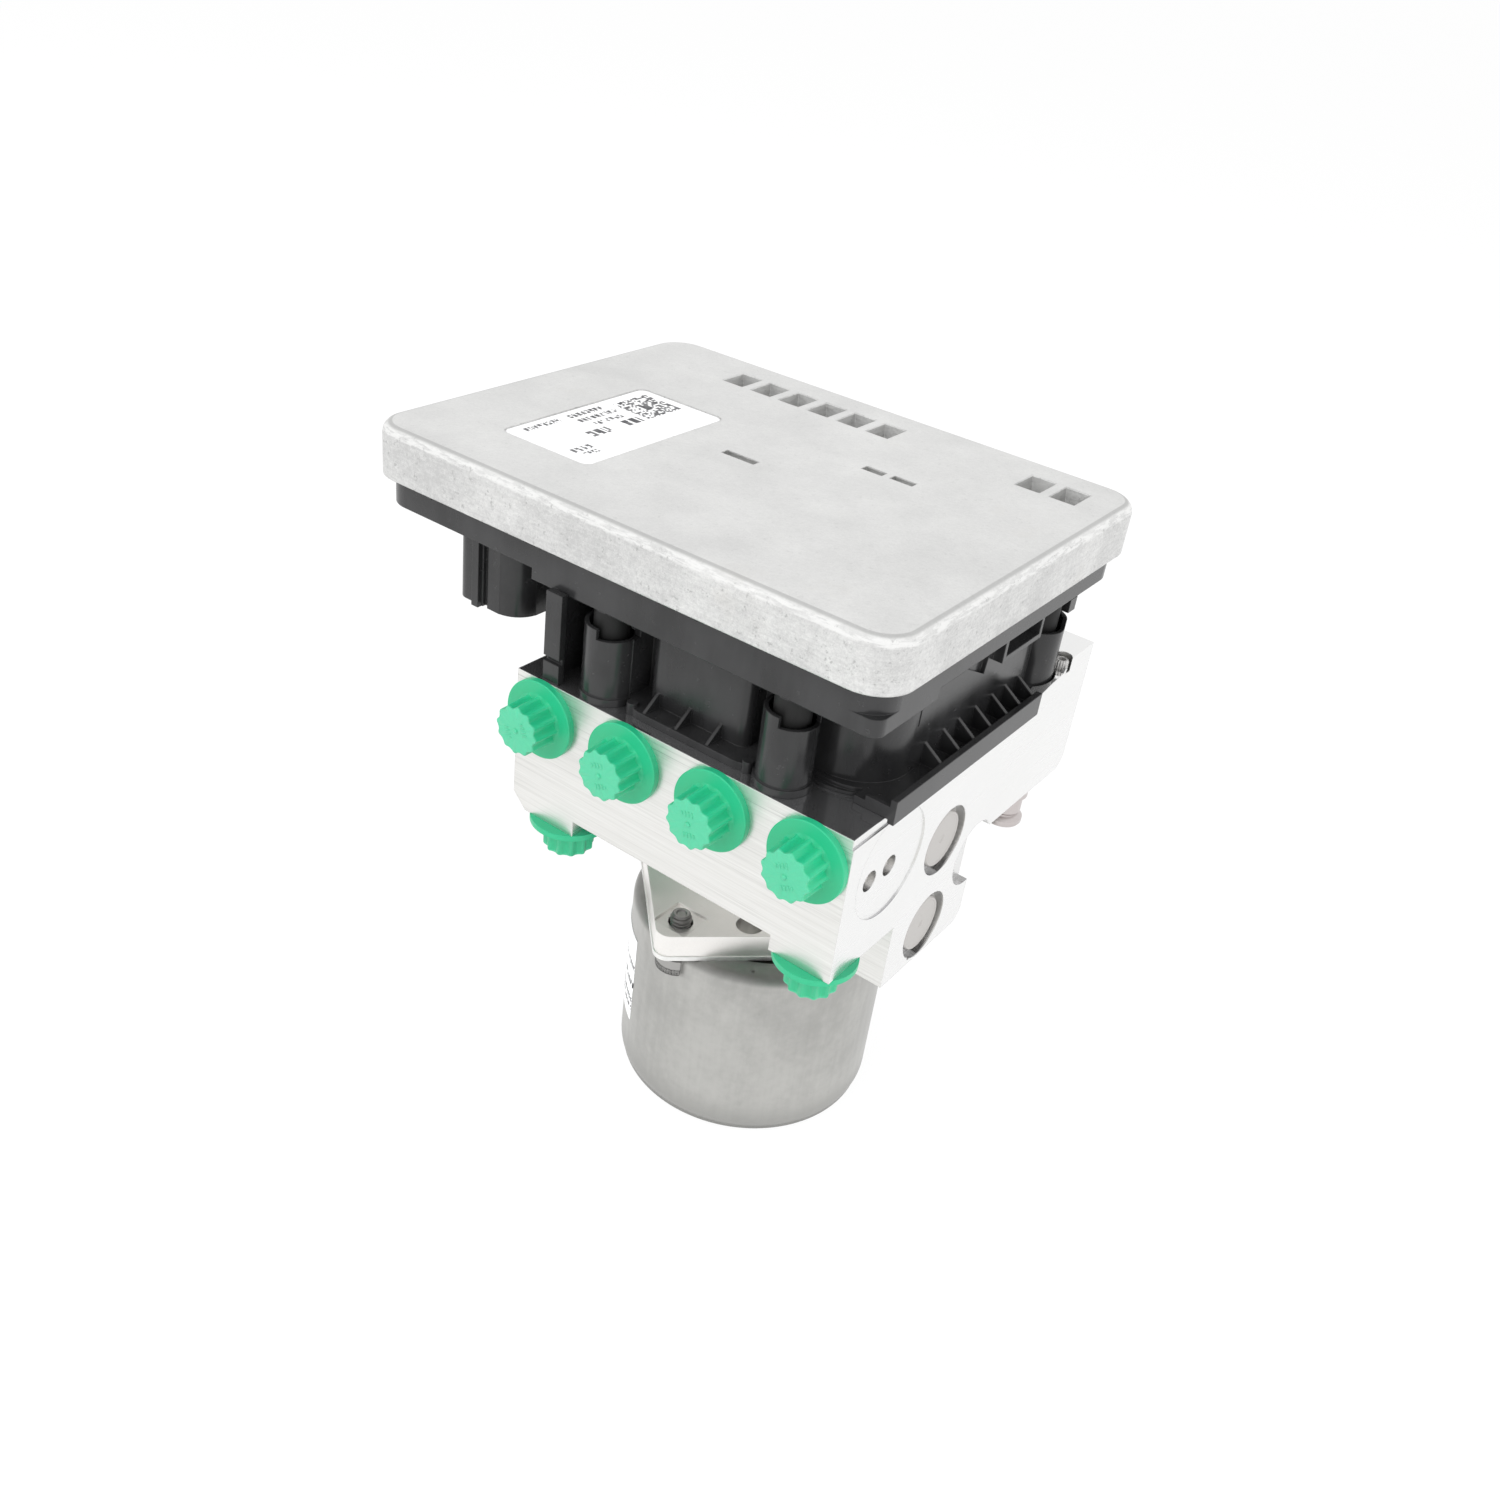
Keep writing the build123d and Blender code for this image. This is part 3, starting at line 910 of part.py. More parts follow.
with BuildPart() as ecu_cover:
    rounded_slab(COVER_X0, COVER_X1, COVER_Y0, COVER_Y1, COVER_Z, COVER_Z + COVER_H, COVER_CORNER)
    fillet(ecu_cover.faces().sort_by(Axis.Z)[-1].edges(), COVER_EDGE)
    rounded_slab(COVER_X0 + 2.2, COVER_X1 - 1.9, COVER_Y0 + 2.0, COVER_Y1 - 2.1, COVER_Z - 1.0,
                 COVER_Z + COVER_H - COVER_T, COVER_CORNER - 2.0, mode=Mode.SUBTRACT)
    # raised land inside the cover behind the deep pockets
    box(POCKET_X0 - 2.2, 37.6, POCKET_Y0 - 2.0, POCKET_Y1 + 2.0, COVER_Z + COVER_H - 5.6,
        COVER_Z + COVER_H - COVER_T + 0.5)
    # rectangular pockets with sloping walls
    pockets = [POCKET_X0 + POCKET_PITCH * i for i in range(6)]
    pockets += [POCKET_X1 + POCKET_PITCH * i for i in range(2)]
    for x in pockets:
        with BuildSketch(Plane.XY.offset(COVER_Z + COVER_H)):
            with Locations((x + POCKET_W / 2, (POCKET_Y0 + POCKET_Y1) / 2)):
                Rectangle(POCKET_W, POCKET_Y1 - POCKET_Y0)
        extrude(amount=-POCKET_DEPTH, taper=16, mode=Mode.SUBTRACT)
    # straight slots
    box(-35.1, -25.7, 8.9, 11.5, COVER_Z + COVER_H - 1.3, COVER_Z + COVER_H + 1.0,
        mode=Mode.SUBTRACT)
    box(-8.7, -2.9, 28.2, 30.9, COVER_Z + COVER_H - 1.3, COVER_Z + COVER_H + 1.0,
        mode=Mode.SUBTRACT)
    box(-1.1, 5.1, 28.6, 31.2, COVER_Z + COVER_H - 1.3, COVER_Z + COVER_H + 1.0,
        mode=Mode.SUBTRACT)
    # shallow label recess
    rounded_slab(-74.9, -48.2, -22.5, 27.6, COVER_Z + COVER_H - 0.35, COVER_Z + COVER_H + 1.0,
                 2.4, mode=Mode.SUBTRACT)
export(ecu_cover, "ecu_cover")

with BuildPart() as cover_label:
    rounded_slab(-74.5, -48.6, -22.1, 27.2, COVER_Z + COVER_H - 0.35, COVER_Z + COVER_H - 0.2, 2.0)
export(cover_label, "cover_label")
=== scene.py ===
"""Looks of the anti-lock brake module: valve block, pump motor, control unit and caps."""
import logging
import math
from dataclasses import dataclass, field
from enum import Enum
from typing import Callable, Protocol, Sequence

import bpy
from mathutils import Matrix, Vector


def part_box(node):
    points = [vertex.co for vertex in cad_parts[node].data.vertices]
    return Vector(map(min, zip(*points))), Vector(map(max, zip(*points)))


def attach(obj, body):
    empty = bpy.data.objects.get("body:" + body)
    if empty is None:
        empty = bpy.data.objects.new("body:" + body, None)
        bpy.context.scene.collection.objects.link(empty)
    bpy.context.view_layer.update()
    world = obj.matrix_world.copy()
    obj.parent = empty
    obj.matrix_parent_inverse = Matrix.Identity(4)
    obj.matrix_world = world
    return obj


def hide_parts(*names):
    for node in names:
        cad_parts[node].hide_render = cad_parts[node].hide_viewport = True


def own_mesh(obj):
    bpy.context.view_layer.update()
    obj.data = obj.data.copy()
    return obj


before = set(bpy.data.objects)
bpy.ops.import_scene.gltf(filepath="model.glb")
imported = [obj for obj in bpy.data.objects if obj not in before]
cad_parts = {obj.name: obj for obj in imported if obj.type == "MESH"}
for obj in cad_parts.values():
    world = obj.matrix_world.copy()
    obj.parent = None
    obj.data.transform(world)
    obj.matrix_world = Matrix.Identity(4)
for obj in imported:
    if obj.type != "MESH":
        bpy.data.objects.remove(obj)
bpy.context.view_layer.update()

LOG = logging.getLogger("brake_module")
MM = 0.001
WELD = 0.0002 * MM
Number = float | int
Pair = tuple[float, float]
Point = tuple[float, float, float]
Colour = tuple[float, float, float]
WHITE: Colour = (1.0, 1.0, 1.0)


def shaded(colour: Colour, factor: float) -> Colour:
    """A colour made lighter or darker, held at one."""
    return tuple(min(1.0, part * factor) for part in colour)


# ------------------------------------------------------------------ shader maths
class Value:
    """A shader value that can be added, multiplied and compared like a number."""

    def __init__(self, nodes: "NodeTree", socket: bpy.types.NodeSocket) -> None:
        """Wrap an output socket of a tree."""
        self.nodes = nodes
        self.socket = socket

    def __add__(self, other: "Value | Number") -> "Value":
        """Sum."""
        return self.nodes.maths("ADD", self, other)

    __radd__ = __add__

    def __sub__(self, other: "Value | Number") -> "Value":
        """Difference."""
        return self.nodes.maths("SUBTRACT", self, other)

    def __rsub__(self, other: Number) -> "Value":
        """Difference from a number."""
        return self.nodes.maths("SUBTRACT", other, self)

    def __mul__(self, other: "Value | Number") -> "Value":
        """Product."""
        return self.nodes.maths("MULTIPLY", self, other)

    __rmul__ = __mul__

    def __gt__(self, other: "Value | Number") -> "Value":
        """One where this is the larger, else nought."""
        return self.nodes.maths("GREATER_THAN", self, other)

    def __lt__(self, other: "Value | Number") -> "Value":
        """One where this is the smaller, else nought."""
        return self.nodes.maths("LESS_THAN", self, other)

    def __abs__(self) -> "Value":
        """Size without sign."""
        return self.nodes.maths("ABSOLUTE", self)

    def clamped(self) -> "Value":
        """The value held between nought and one."""
        return self.nodes.maths("MULTIPLY", self, 1.0, clamp=True)

    def stepped(self, size: float) -> "Value":
        """The value cut down to whole steps of a size."""
        return self.nodes.maths("FLOOR", self * (1.0 / size))

    def rise(self, low: float, high: float) -> "Value":
        """A smooth rise from nought at the low limit to one at the high one."""
        node = self.nodes.node("ShaderNodeMapRange", {"interpolation_type": "SMOOTHSTEP"},
                               {"Value": self, "From Min": low, "From Max": high})
        return Value(self.nodes, node.outputs["Result"])

    def inside(self, low: float, high: float) -> "Value":
        """One between two limits, else nought."""
        return (self > low) * (self < high)


class NodeTree:
    """A node tree that is built up by calls."""

    def __init__(self, tree: bpy.types.NodeTree) -> None:
        """Clear a tree to start from."""
        self.tree = tree
        self.tree.nodes.clear()

    def node(self, kind: str, settings: dict | None = None,
             inputs: dict | None = None) -> bpy.types.Node:
        """Add any node.

        Args:
            kind: The node's type.
            settings: Attributes, which are set first.
            inputs: Sockets by name or number, each a number, a colour or a Value.

        Returns:
            The new node.
        """
        node = self.tree.nodes.new(kind)
        for key, value in (settings or {}).items():
            setattr(node, key, value)
        for key, value in (inputs or {}).items():
            self.feed(node.inputs[key], value)
        return node

    def feed(self, socket: bpy.types.NodeSocket, value: "Value | Number | Sequence") -> None:
        """Link or set one input socket.

        Args:
            socket: The input.
            value: A wrapped value to link, or a constant.
        """
        if isinstance(value, Value):
            self.tree.links.new(value.socket, socket)
        elif isinstance(value, (tuple, list)) and socket.type == "RGBA" and len(value) == 3:
            socket.default_value = (*value, 1.0)
        else:
            socket.default_value = value

    def first(self, node: bpy.types.Node) -> Value:
        """A node's first output."""
        return Value(self, node.outputs[0])

    def maths(self, operation: str, *values: "Value | Number", clamp: bool = False) -> Value:
        """The result of one Math node, held between nought and one on demand."""
        return self.first(self.node("ShaderNodeMath", {"operation": operation, "use_clamp": clamp},
                                    dict(enumerate(values))))

    def seen_directly(self) -> Value:
        """Find the rays that show a surface to the eye.

        Returns:
            One for rays from the camera, off gloss or through glass, else nought.
        """
        path = self.node("ShaderNodeLightPath")
        camera, glossy, through = (Value(self, path.outputs[f"Is {kind} Ray"])
                                   for kind in ("Camera", "Glossy", "Transmission"))
        return (camera + glossy + through).clamped()


class Shader(NodeTree):
    """One material's nodes, built up by name."""

    def __init__(self, name: str) -> None:
        """Start a material with one Principled surface.

        Args:
            name: The material's name.
        """
        self.material = bpy.data.materials.new(name)
        self.material.use_nodes = True
        super().__init__(self.material.node_tree)
        self.surface = self.node("ShaderNodeBsdfPrincipled")
        self.output = self.node("ShaderNodeOutputMaterial", None,
                                {"Surface": self.first(self.surface)})

    def place(self, scale: Point = (1.0, 1.0, 1.0), turn: Point = (0.0, 0.0, 0.0),
              source: str = "Object") -> Value:
        """Coordinates for a pattern, in millimetres.

        Args:
            scale: Stretch along each axis after the change to millimetres.
            turn: Euler turn in degrees.
            source: Which output of Texture Coordinate to read.

        Returns:
            The coordinate vector.
        """
        coords = self.node("ShaderNodeTexCoord")
        size = 1.0 / MM if source == "Object" else 1.0
        mapping = self.node("ShaderNodeMapping", None, {
            "Vector": Value(self, coords.outputs[source]),
            "Rotation": tuple(math.radians(a) for a in turn),
            "Scale": tuple(s * size for s in scale)})
        return self.first(mapping)

    def axes(self, vector: Value) -> tuple[Value, Value, Value]:
        """Split a vector into its X, Y and Z."""
        node = self.node("ShaderNodeSeparateXYZ", None, {0: vector})
        return tuple(Value(self, s) for s in node.outputs)

    def noise(self, scale: float, detail: float = 2.0, rough: float = 0.5,
              vector: Value | None = None) -> Value:
        """Soft noise about one half.

        Args:
            scale: Bumps per millimetre.
            detail: Octaves.
            rough: How strong the fine octaves are.
            vector: Where to read; plain object coordinates if left out.

        Returns:
            The noise value.
        """
        return self.first(self.node("ShaderNodeTexNoise", None, {
            "Vector": vector or self.place(), "Scale": scale, "Detail": detail,
            "Roughness": rough}))

    def chance(self, *parts: "Value | Number") -> Value:
        """A fixed random number for each combination of whole steps.

        Args:
            parts: Two or three stepped values or numbers.

        Returns:
            A number from nought to one.
        """
        spot = self.node("ShaderNodeCombineXYZ", None, dict(enumerate(parts)))
        node = self.node("ShaderNodeTexWhiteNoise", {"noise_dimensions": "3D"},
                         {"Vector": self.first(spot)})
        return Value(self, node.outputs["Value"])

    def blend(self, factor: "Value | Number", low: "Value | Colour",
              high: "Value | Colour") -> Value:
        """Mix two colours.

        Args:
            factor: Nought for the first, one for the second.
            low: First colour.
            high: Second colour.

        Returns:
            The mixed colour.
        """
        node = self.node("ShaderNodeMix", {"data_type": "RGBA"})
        sockets = [s for s in node.inputs if s.type == "RGBA"]
        self.feed(node.inputs[0], factor)
        self.feed(sockets[0], low)
        self.feed(sockets[1], high)
        return Value(self, next(s for s in node.outputs if s.type == "RGBA"))

    def layers(self, colour: "Value | Colour",
               *coats: "tuple[Value | Number, Value | Colour]") -> "Value | Colour":
        """Lay tints over a colour, one after another.

        Args:
            colour: What lies beneath.
            coats: How far each tint covers, and the tint.

        Returns:
            The colour on top.
        """
        for share, tint in coats:
            colour = self.blend(share, colour, tint)
        return colour

    def rounded(self, radius: float) -> Value:
        """A normal that rounds sharp edges over by a radius in millimetres."""
        return self.first(self.node("ShaderNodeBevel", {"samples": 4}, {"Radius": radius * MM}))

    def relief(self, height: Value, depth: float, strength: float = 1.0,
               normal: Value | None = None) -> Value:
        """A bump from a height.

        Args:
            height: The height pattern.
            depth: What a height of one stands for, in millimetres.
            strength: How much of it shows.
            normal: A normal that it adds to.

        Returns:
            The bumped normal.
        """
        inputs = {"Height": height, "Distance": depth * MM, "Strength": strength}
        if normal is not None:
            inputs["Normal"] = normal
        return self.first(self.node("ShaderNodeBump", None, inputs))

    def dress(self, **sockets: "Value | Number | Colour") -> bpy.types.Material:
        """Set the Principled surface's sockets.

        Args:
            sockets: Socket names with underscores for spaces.

        Returns:
            The finished material.
        """
        for key, value in sockets.items():
            self.feed(self.surface.inputs[key.replace("_", " ")], value)
        return self.material


# ------------------------------------------------------------------ bench
Test = Callable[[Vector, Vector], bool]


class Bench:
    """One mesh being shaped: faces and edges are picked by place and worked in edit mode."""

    def __init__(self, name: str) -> None:
        """Clear the selection for a new piece."""
        bpy.ops.object.select_all(action="DESELECT")
        self.name = name

    @classmethod
    def holding(cls, piece: bpy.types.Object) -> "Bench":
        """Put a piece that exists on the bench.

        Args:
            piece: The piece, its place in its mesh.

        Returns:
            The bench.
        """
        bench = cls(piece.name)
        bench.piece = piece
        piece.select_set(True)
        bpy.context.view_layer.objects.active = piece
        return bench

    def _ready(self) -> None:
        """Name the fresh primitive and put its place into its mesh."""
        self.piece = bpy.context.object
        self.piece.name = self.name
        self.piece.data.name = self.name
        bpy.ops.object.transform_apply(location=True, rotation=True, scale=True)

    def cylinder(self, radius: float, low: float, high: float, sides: int = 48,
                 centre: Pair = (0.0, 0.0)) -> "Bench":
        """Start from an upright cylinder.

        Args:
            radius: Its radius in millimetres.
            low: Its lower end.
            high: Its upper end.
            sides: Number of sides.
            centre: X and Y of its axis.

        Returns:
            The bench.
        """
        bpy.ops.mesh.primitive_cylinder_add(
            vertices=sides, radius=radius * MM, depth=(high - low) * MM,
            location=(centre[0] * MM, centre[1] * MM, (low + high) / 2 * MM))
        self._ready()
        return self

    def block(self, low: Point, high: Point) -> "Bench":
        """Start from a block.

        Args:
            low: Its lowest corner in millimetres.
            high: Its highest corner.

        Returns:
            The bench.
        """
        middle = tuple((a + b) / 2 * MM for a, b in zip(low, high))
        size = tuple((b - a) * MM for a, b in zip(low, high))
        bpy.ops.mesh.primitive_cube_add(size=1.0, location=middle, scale=size)
        self._ready()
        return self

    def _select(self, kind: str, chosen: Sequence[bool]) -> "Bench":
        """Select elements of one kind and none of the others, and go into edit mode.

        Args:
            kind: Which elements: vertices, edges or polygons.
            chosen: For each of them, whether it is picked.

        Returns:
            The bench.
        """
        kinds = ("vertices", "edges", "polygons")
        bpy.context.tool_settings.mesh_select_mode = tuple(k == kind for k in kinds)
        for k in kinds:
            elements = getattr(self.piece.data, k)
            elements.foreach_set("select", chosen if k == kind else [False] * len(elements))
        self._mode("EDIT")
        return self

    def _mesh(self) -> bpy.types.Mesh:
        """Leave edit mode and hand over the mesh as it stands."""
        self._mode("OBJECT")
        return self.piece.data

    def pick(self, test: Test) -> "Bench":
        """Select the faces whose centre in millimetres and normal pass a test."""
        return self._select("polygons", [test(f.center / MM, f.normal)
                                         for f in self._mesh().polygons])

    def pick_points(self, test: Callable[[Vector], bool]) -> "Bench":
        """Select the vertices whose place in millimetres passes a test."""
        return self._select("vertices", [test(v.co / MM) for v in self._mesh().vertices])

    def pick_edges(self, test: Test) -> "Bench":
        """Select edges.

        Args:
            test: Called with an edge's middle in millimetres and its direction.

        Returns:
            The bench.
        """
        mesh = self._mesh()
        chosen = []
        for edge in mesh.edges:
            a, b = (mesh.vertices[i].co / MM for i in edge.vertices)
            chosen.append(test((a + b) / 2, (b - a).normalized()))
        return self._select("edges", chosen)

    def _mode(self, mode: str) -> None:
        """Go into or out of edit mode."""
        if self.piece.mode != mode:
            bpy.ops.object.mode_set(mode=mode)

    def push(self, x: float = 0.0, y: float = 0.0, z: float = 0.0) -> "Bench":
        """Extrude the picked faces by a step in millimetres."""
        bpy.ops.mesh.extrude_region_move(
            TRANSFORM_OT_translate={"value": (x * MM, y * MM, z * MM)})
        return self

    def swell(self, factor: Point, centre: Point = (0.0, 0.0, 0.0)) -> "Bench":
        """Scale what is picked about a centre in millimetres."""
        bpy.ops.transform.resize(value=factor, center_override=tuple(c * MM for c in centre))
        return self

    def round_off(self, width: float, segments: int = 2) -> "Bench":
        """Bevel the picked edges."""
        bpy.ops.mesh.bevel(offset=width * MM, segments=segments, affect="EDGES", profile=0.5)
        return self

    def turn(self, profile: Sequence[Pair], centre: Pair = (0.0, 0.0)) -> "Bench":
        """Grow the picked end face into a turned shape.

        Args:
            profile: Radius and height of each ring, the first being the present end.
            centre: X and Y of the axis.

        Returns:
            The bench.
        """
        radius, level = profile[0]
        for new_radius, new_level in profile[1:]:
            self.push(z=new_level - level)
            factor = new_radius / radius
            self.swell((factor, factor, 1.0), (*centre, new_level))
            radius, level = new_radius, new_level
        return self

    def end_face(self, up: bool = True) -> "Bench":
        """Pick the level face at one end.

        Args:
            up: Whether it is the highest face or the lowest.

        Returns:
            The bench.
        """
        levels = [f.center.z / MM for f in self._mesh().polygons if abs(f.normal.z) > 0.9]
        level = max(levels) if up else min(levels)
        sign = 1.0 if up else -1.0
        return self.pick(lambda c, n: n.z * sign > 0.9 and abs(c.z - level) < 0.01)

    def done(self, angle: float = 35.0) -> bpy.types.Object:
        """Leave edit mode with closed, outward faces and smooth shading.

        Args:
            angle: Edges flatter than this many degrees are smoothed.

        Returns:
            The finished object.
        """
        self._mode("EDIT")
        bpy.ops.mesh.select_mode(type="FACE")
        bpy.ops.mesh.select_all(action="SELECT")
        bpy.ops.mesh.remove_doubles(threshold=WELD)
        bpy.ops.mesh.normals_make_consistent(inside=False)
        self._mode("OBJECT")
        bpy.ops.object.shade_smooth_by_angle(angle=math.radians(angle))
        return self.piece


def copied(piece: bpy.types.Object, name: str, place: Matrix) -> bpy.types.Object:
    """Copy a piece with its own mesh.

    Args:
        piece: The model.
        name: The copy's name.
        place: Where the copy goes, in metres.

    Returns:
        The copy, its place in its mesh.
    """
    twin = bpy.data.objects.new(name, piece.data.copy())
    twin.data.name = name
    twin.data.transform(place)
    bpy.context.collection.objects.link(twin)
    return twin


def spread(form: bpy.types.Object, places: dict[str, Matrix]) -> list[bpy.types.Object]:
    """Put a copy of a form in each place and take the form away.

    Args:
        form: The form.
        places: Where each copy goes, by the copy's name.

    Returns:
        The copies.
    """
    copies = [copied(form, name, place) for name, place in places.items()]
    bpy.data.objects.remove(form)
    return copies


def joined(pieces: Sequence[bpy.types.Object], name: str) -> bpy.types.Object:
    """Join pieces into one object.

    Args:
        pieces: What is joined.
        name: The name of the whole.

    Returns:
        The whole.
    """
    bpy.ops.object.select_all(action="DESELECT")
    for piece in pieces:
        piece.select_set(True)
    bpy.context.view_layer.objects.active = pieces[0]
    bpy.ops.object.join()
    whole = bpy.context.object
    whole.name = name
    whole.data.name = name
    return whole


def thread(outer: float, inner: float, low: float, high: float, pitch: float) -> list[Pair]:
    """Rings of a screw thread.

    Args:
        outer: Radius of the crests.
        inner: Radius of the roots.
        low: Where the thread starts.
        high: Where it ends.
        pitch: Distance from crest to crest; its sign follows the direction.

    Returns:
        Radius and height of each ring.
    """
    rings = []
    count = int(abs(high - low) / abs(pitch))
    for i in range(count):
        base = low + pitch * i
        rings += [(inner, base), (inner, base + pitch * 0.15), (outer, base + pitch * 0.45),
                  (outer, base + pitch * 0.70), (inner, base + pitch * 0.98)]
    return rings


# ------------------------------------------------------------------ finishes
@dataclass(frozen=True)
class CastAlloy:
    """Die-cast aluminium skin: grainy sides painted a little darker as painted shade, a painted
    highlight along the rounded edges with a painted shade line above it, painted shade in the
    pockets, a scuffed flat top and faint stains.
    """

    name: str = "cast_cover_alloy"
    colour: Colour = (0.60, 0.60, 0.595)
    bright: Colour = (0.84, 0.84, 0.83)
    dark: Colour = (0.34, 0.34, 0.335)
    painted_edge_highlight: Colour = (0.97, 0.97, 0.96)
    flecked: Colour = (0.93, 0.93, 0.92)
    stained: Colour = (0.50, 0.47, 0.43)
    scratched: Colour = (0.90, 0.90, 0.90)
    metallic: float = 0.92
    roughness: float = 0.44
    pockets_x: Pair = (-95.0, 42.2)
    pockets_y: Pair = (-38.9, 67.4)
    pockets_below: float = 156.15

    def material(self) -> bpy.types.Material:
        """Build the finish.

        Returns:
            The material.
        """
        s = Shader(self.name)
        x, y, z = s.axes(s.place())
        _, _, nz = s.axes(s.place(source="Normal"))
        side = 1.0 - nz.rise(0.35, 0.95)
        grain = s.noise(1.25, 5.0, 0.68)
        speck = s.noise(2.9, 3.0, 0.65)
        cloud = s.noise(0.022, 4.0, 0.6)
        patch = s.noise(0.085, 4.0, 0.62)
        drag = s.noise(1.0, 4.0, 0.65, s.place(scale=(0.22, 0.22, 1.5)))
        tone = (grain - 0.5) * (0.80 + 0.9 * side) + (speck - 0.5) * (0.45 + 0.5 * side)
        tone = tone + (drag - 0.5) * side * 1.1
        tone = tone + (cloud - 0.5) * 0.9 + (patch - 0.5) * (0.7 + 0.6 * side) + 0.54
        # The side faces are painted a little darker, as painted shade.
        base = s.blend((tone - side * 0.16).clamped(), self.colour, self.bright)
        # A band down the rounded edges is painted near white, broken up by the drag noise: a
        # painted highlight.
        edge = nz.rise(0.12, 0.40) * (1.0 - nz.rise(0.72, 0.93))
        painted_edge_highlight = edge * (0.35 + 0.65 * drag.rise(0.42, 0.56))
        # A thin band where the rounded edges meet the flat top is painted darker: a painted shade
        # line.
        painted_edge_shade = nz.rise(0.80, 0.93) * (1.0 - nz.rise(0.975, 0.995))
        pit = (1.0 - s.noise(0.75, 4.0, 0.7).rise(0.30, 0.42)) * (0.25 + 0.75 * side)
        fleck = speck.rise(0.62, 0.76) * (0.30 + 0.55 * side)
        stain = s.noise(0.045, 3.0, 0.6).rise(0.60, 0.74) * patch.rise(0.35, 0.7)
        scratch = s.noise(1.0, 2.0, 0.5, s.place(scale=(0.03, 2.6, 1.0), turn=(0.0, 0.0, 24.0)))
        scratch = scratch.rise(0.70, 0.78) * cloud.rise(0.48, 0.6)
        # Painted shade in the pockets and slits below the top: walls darker, floors a little.
        pocket_shade = x.inside(*self.pockets_x) * y.inside(*self.pockets_y) * (z < self.pockets_below)
        colour = s.layers(
            base, (painted_edge_highlight * 0.75, self.painted_edge_highlight), (painted_edge_shade * 0.45, self.dark), (pit * 0.55, self.dark),
            (fleck, self.flecked), (stain * 0.22, self.stained), (scratch * 0.20, self.scratched),
            (pocket_shade * (0.50 - nz.rise(0.5, 0.9) * 0.38), self.dark))
        height = grain * (0.35 + 0.95 * side) + speck * (0.25 + 0.35 * side)
        normal = s.relief(height, 0.16, 0.65, s.rounded(0.45))
        rough = self.roughness + (grain - 0.5) * 0.30 + (patch - 0.5) * 0.18
        return s.dress(Base_Color=colour, Metallic=self.metallic, Roughness=rough.clamped(),
                       Normal=normal)


@dataclass(frozen=True)
class Bore:
    """A turned recess in the block's side: where it is and how wide."""

    y: float
    z: float
    radius: float


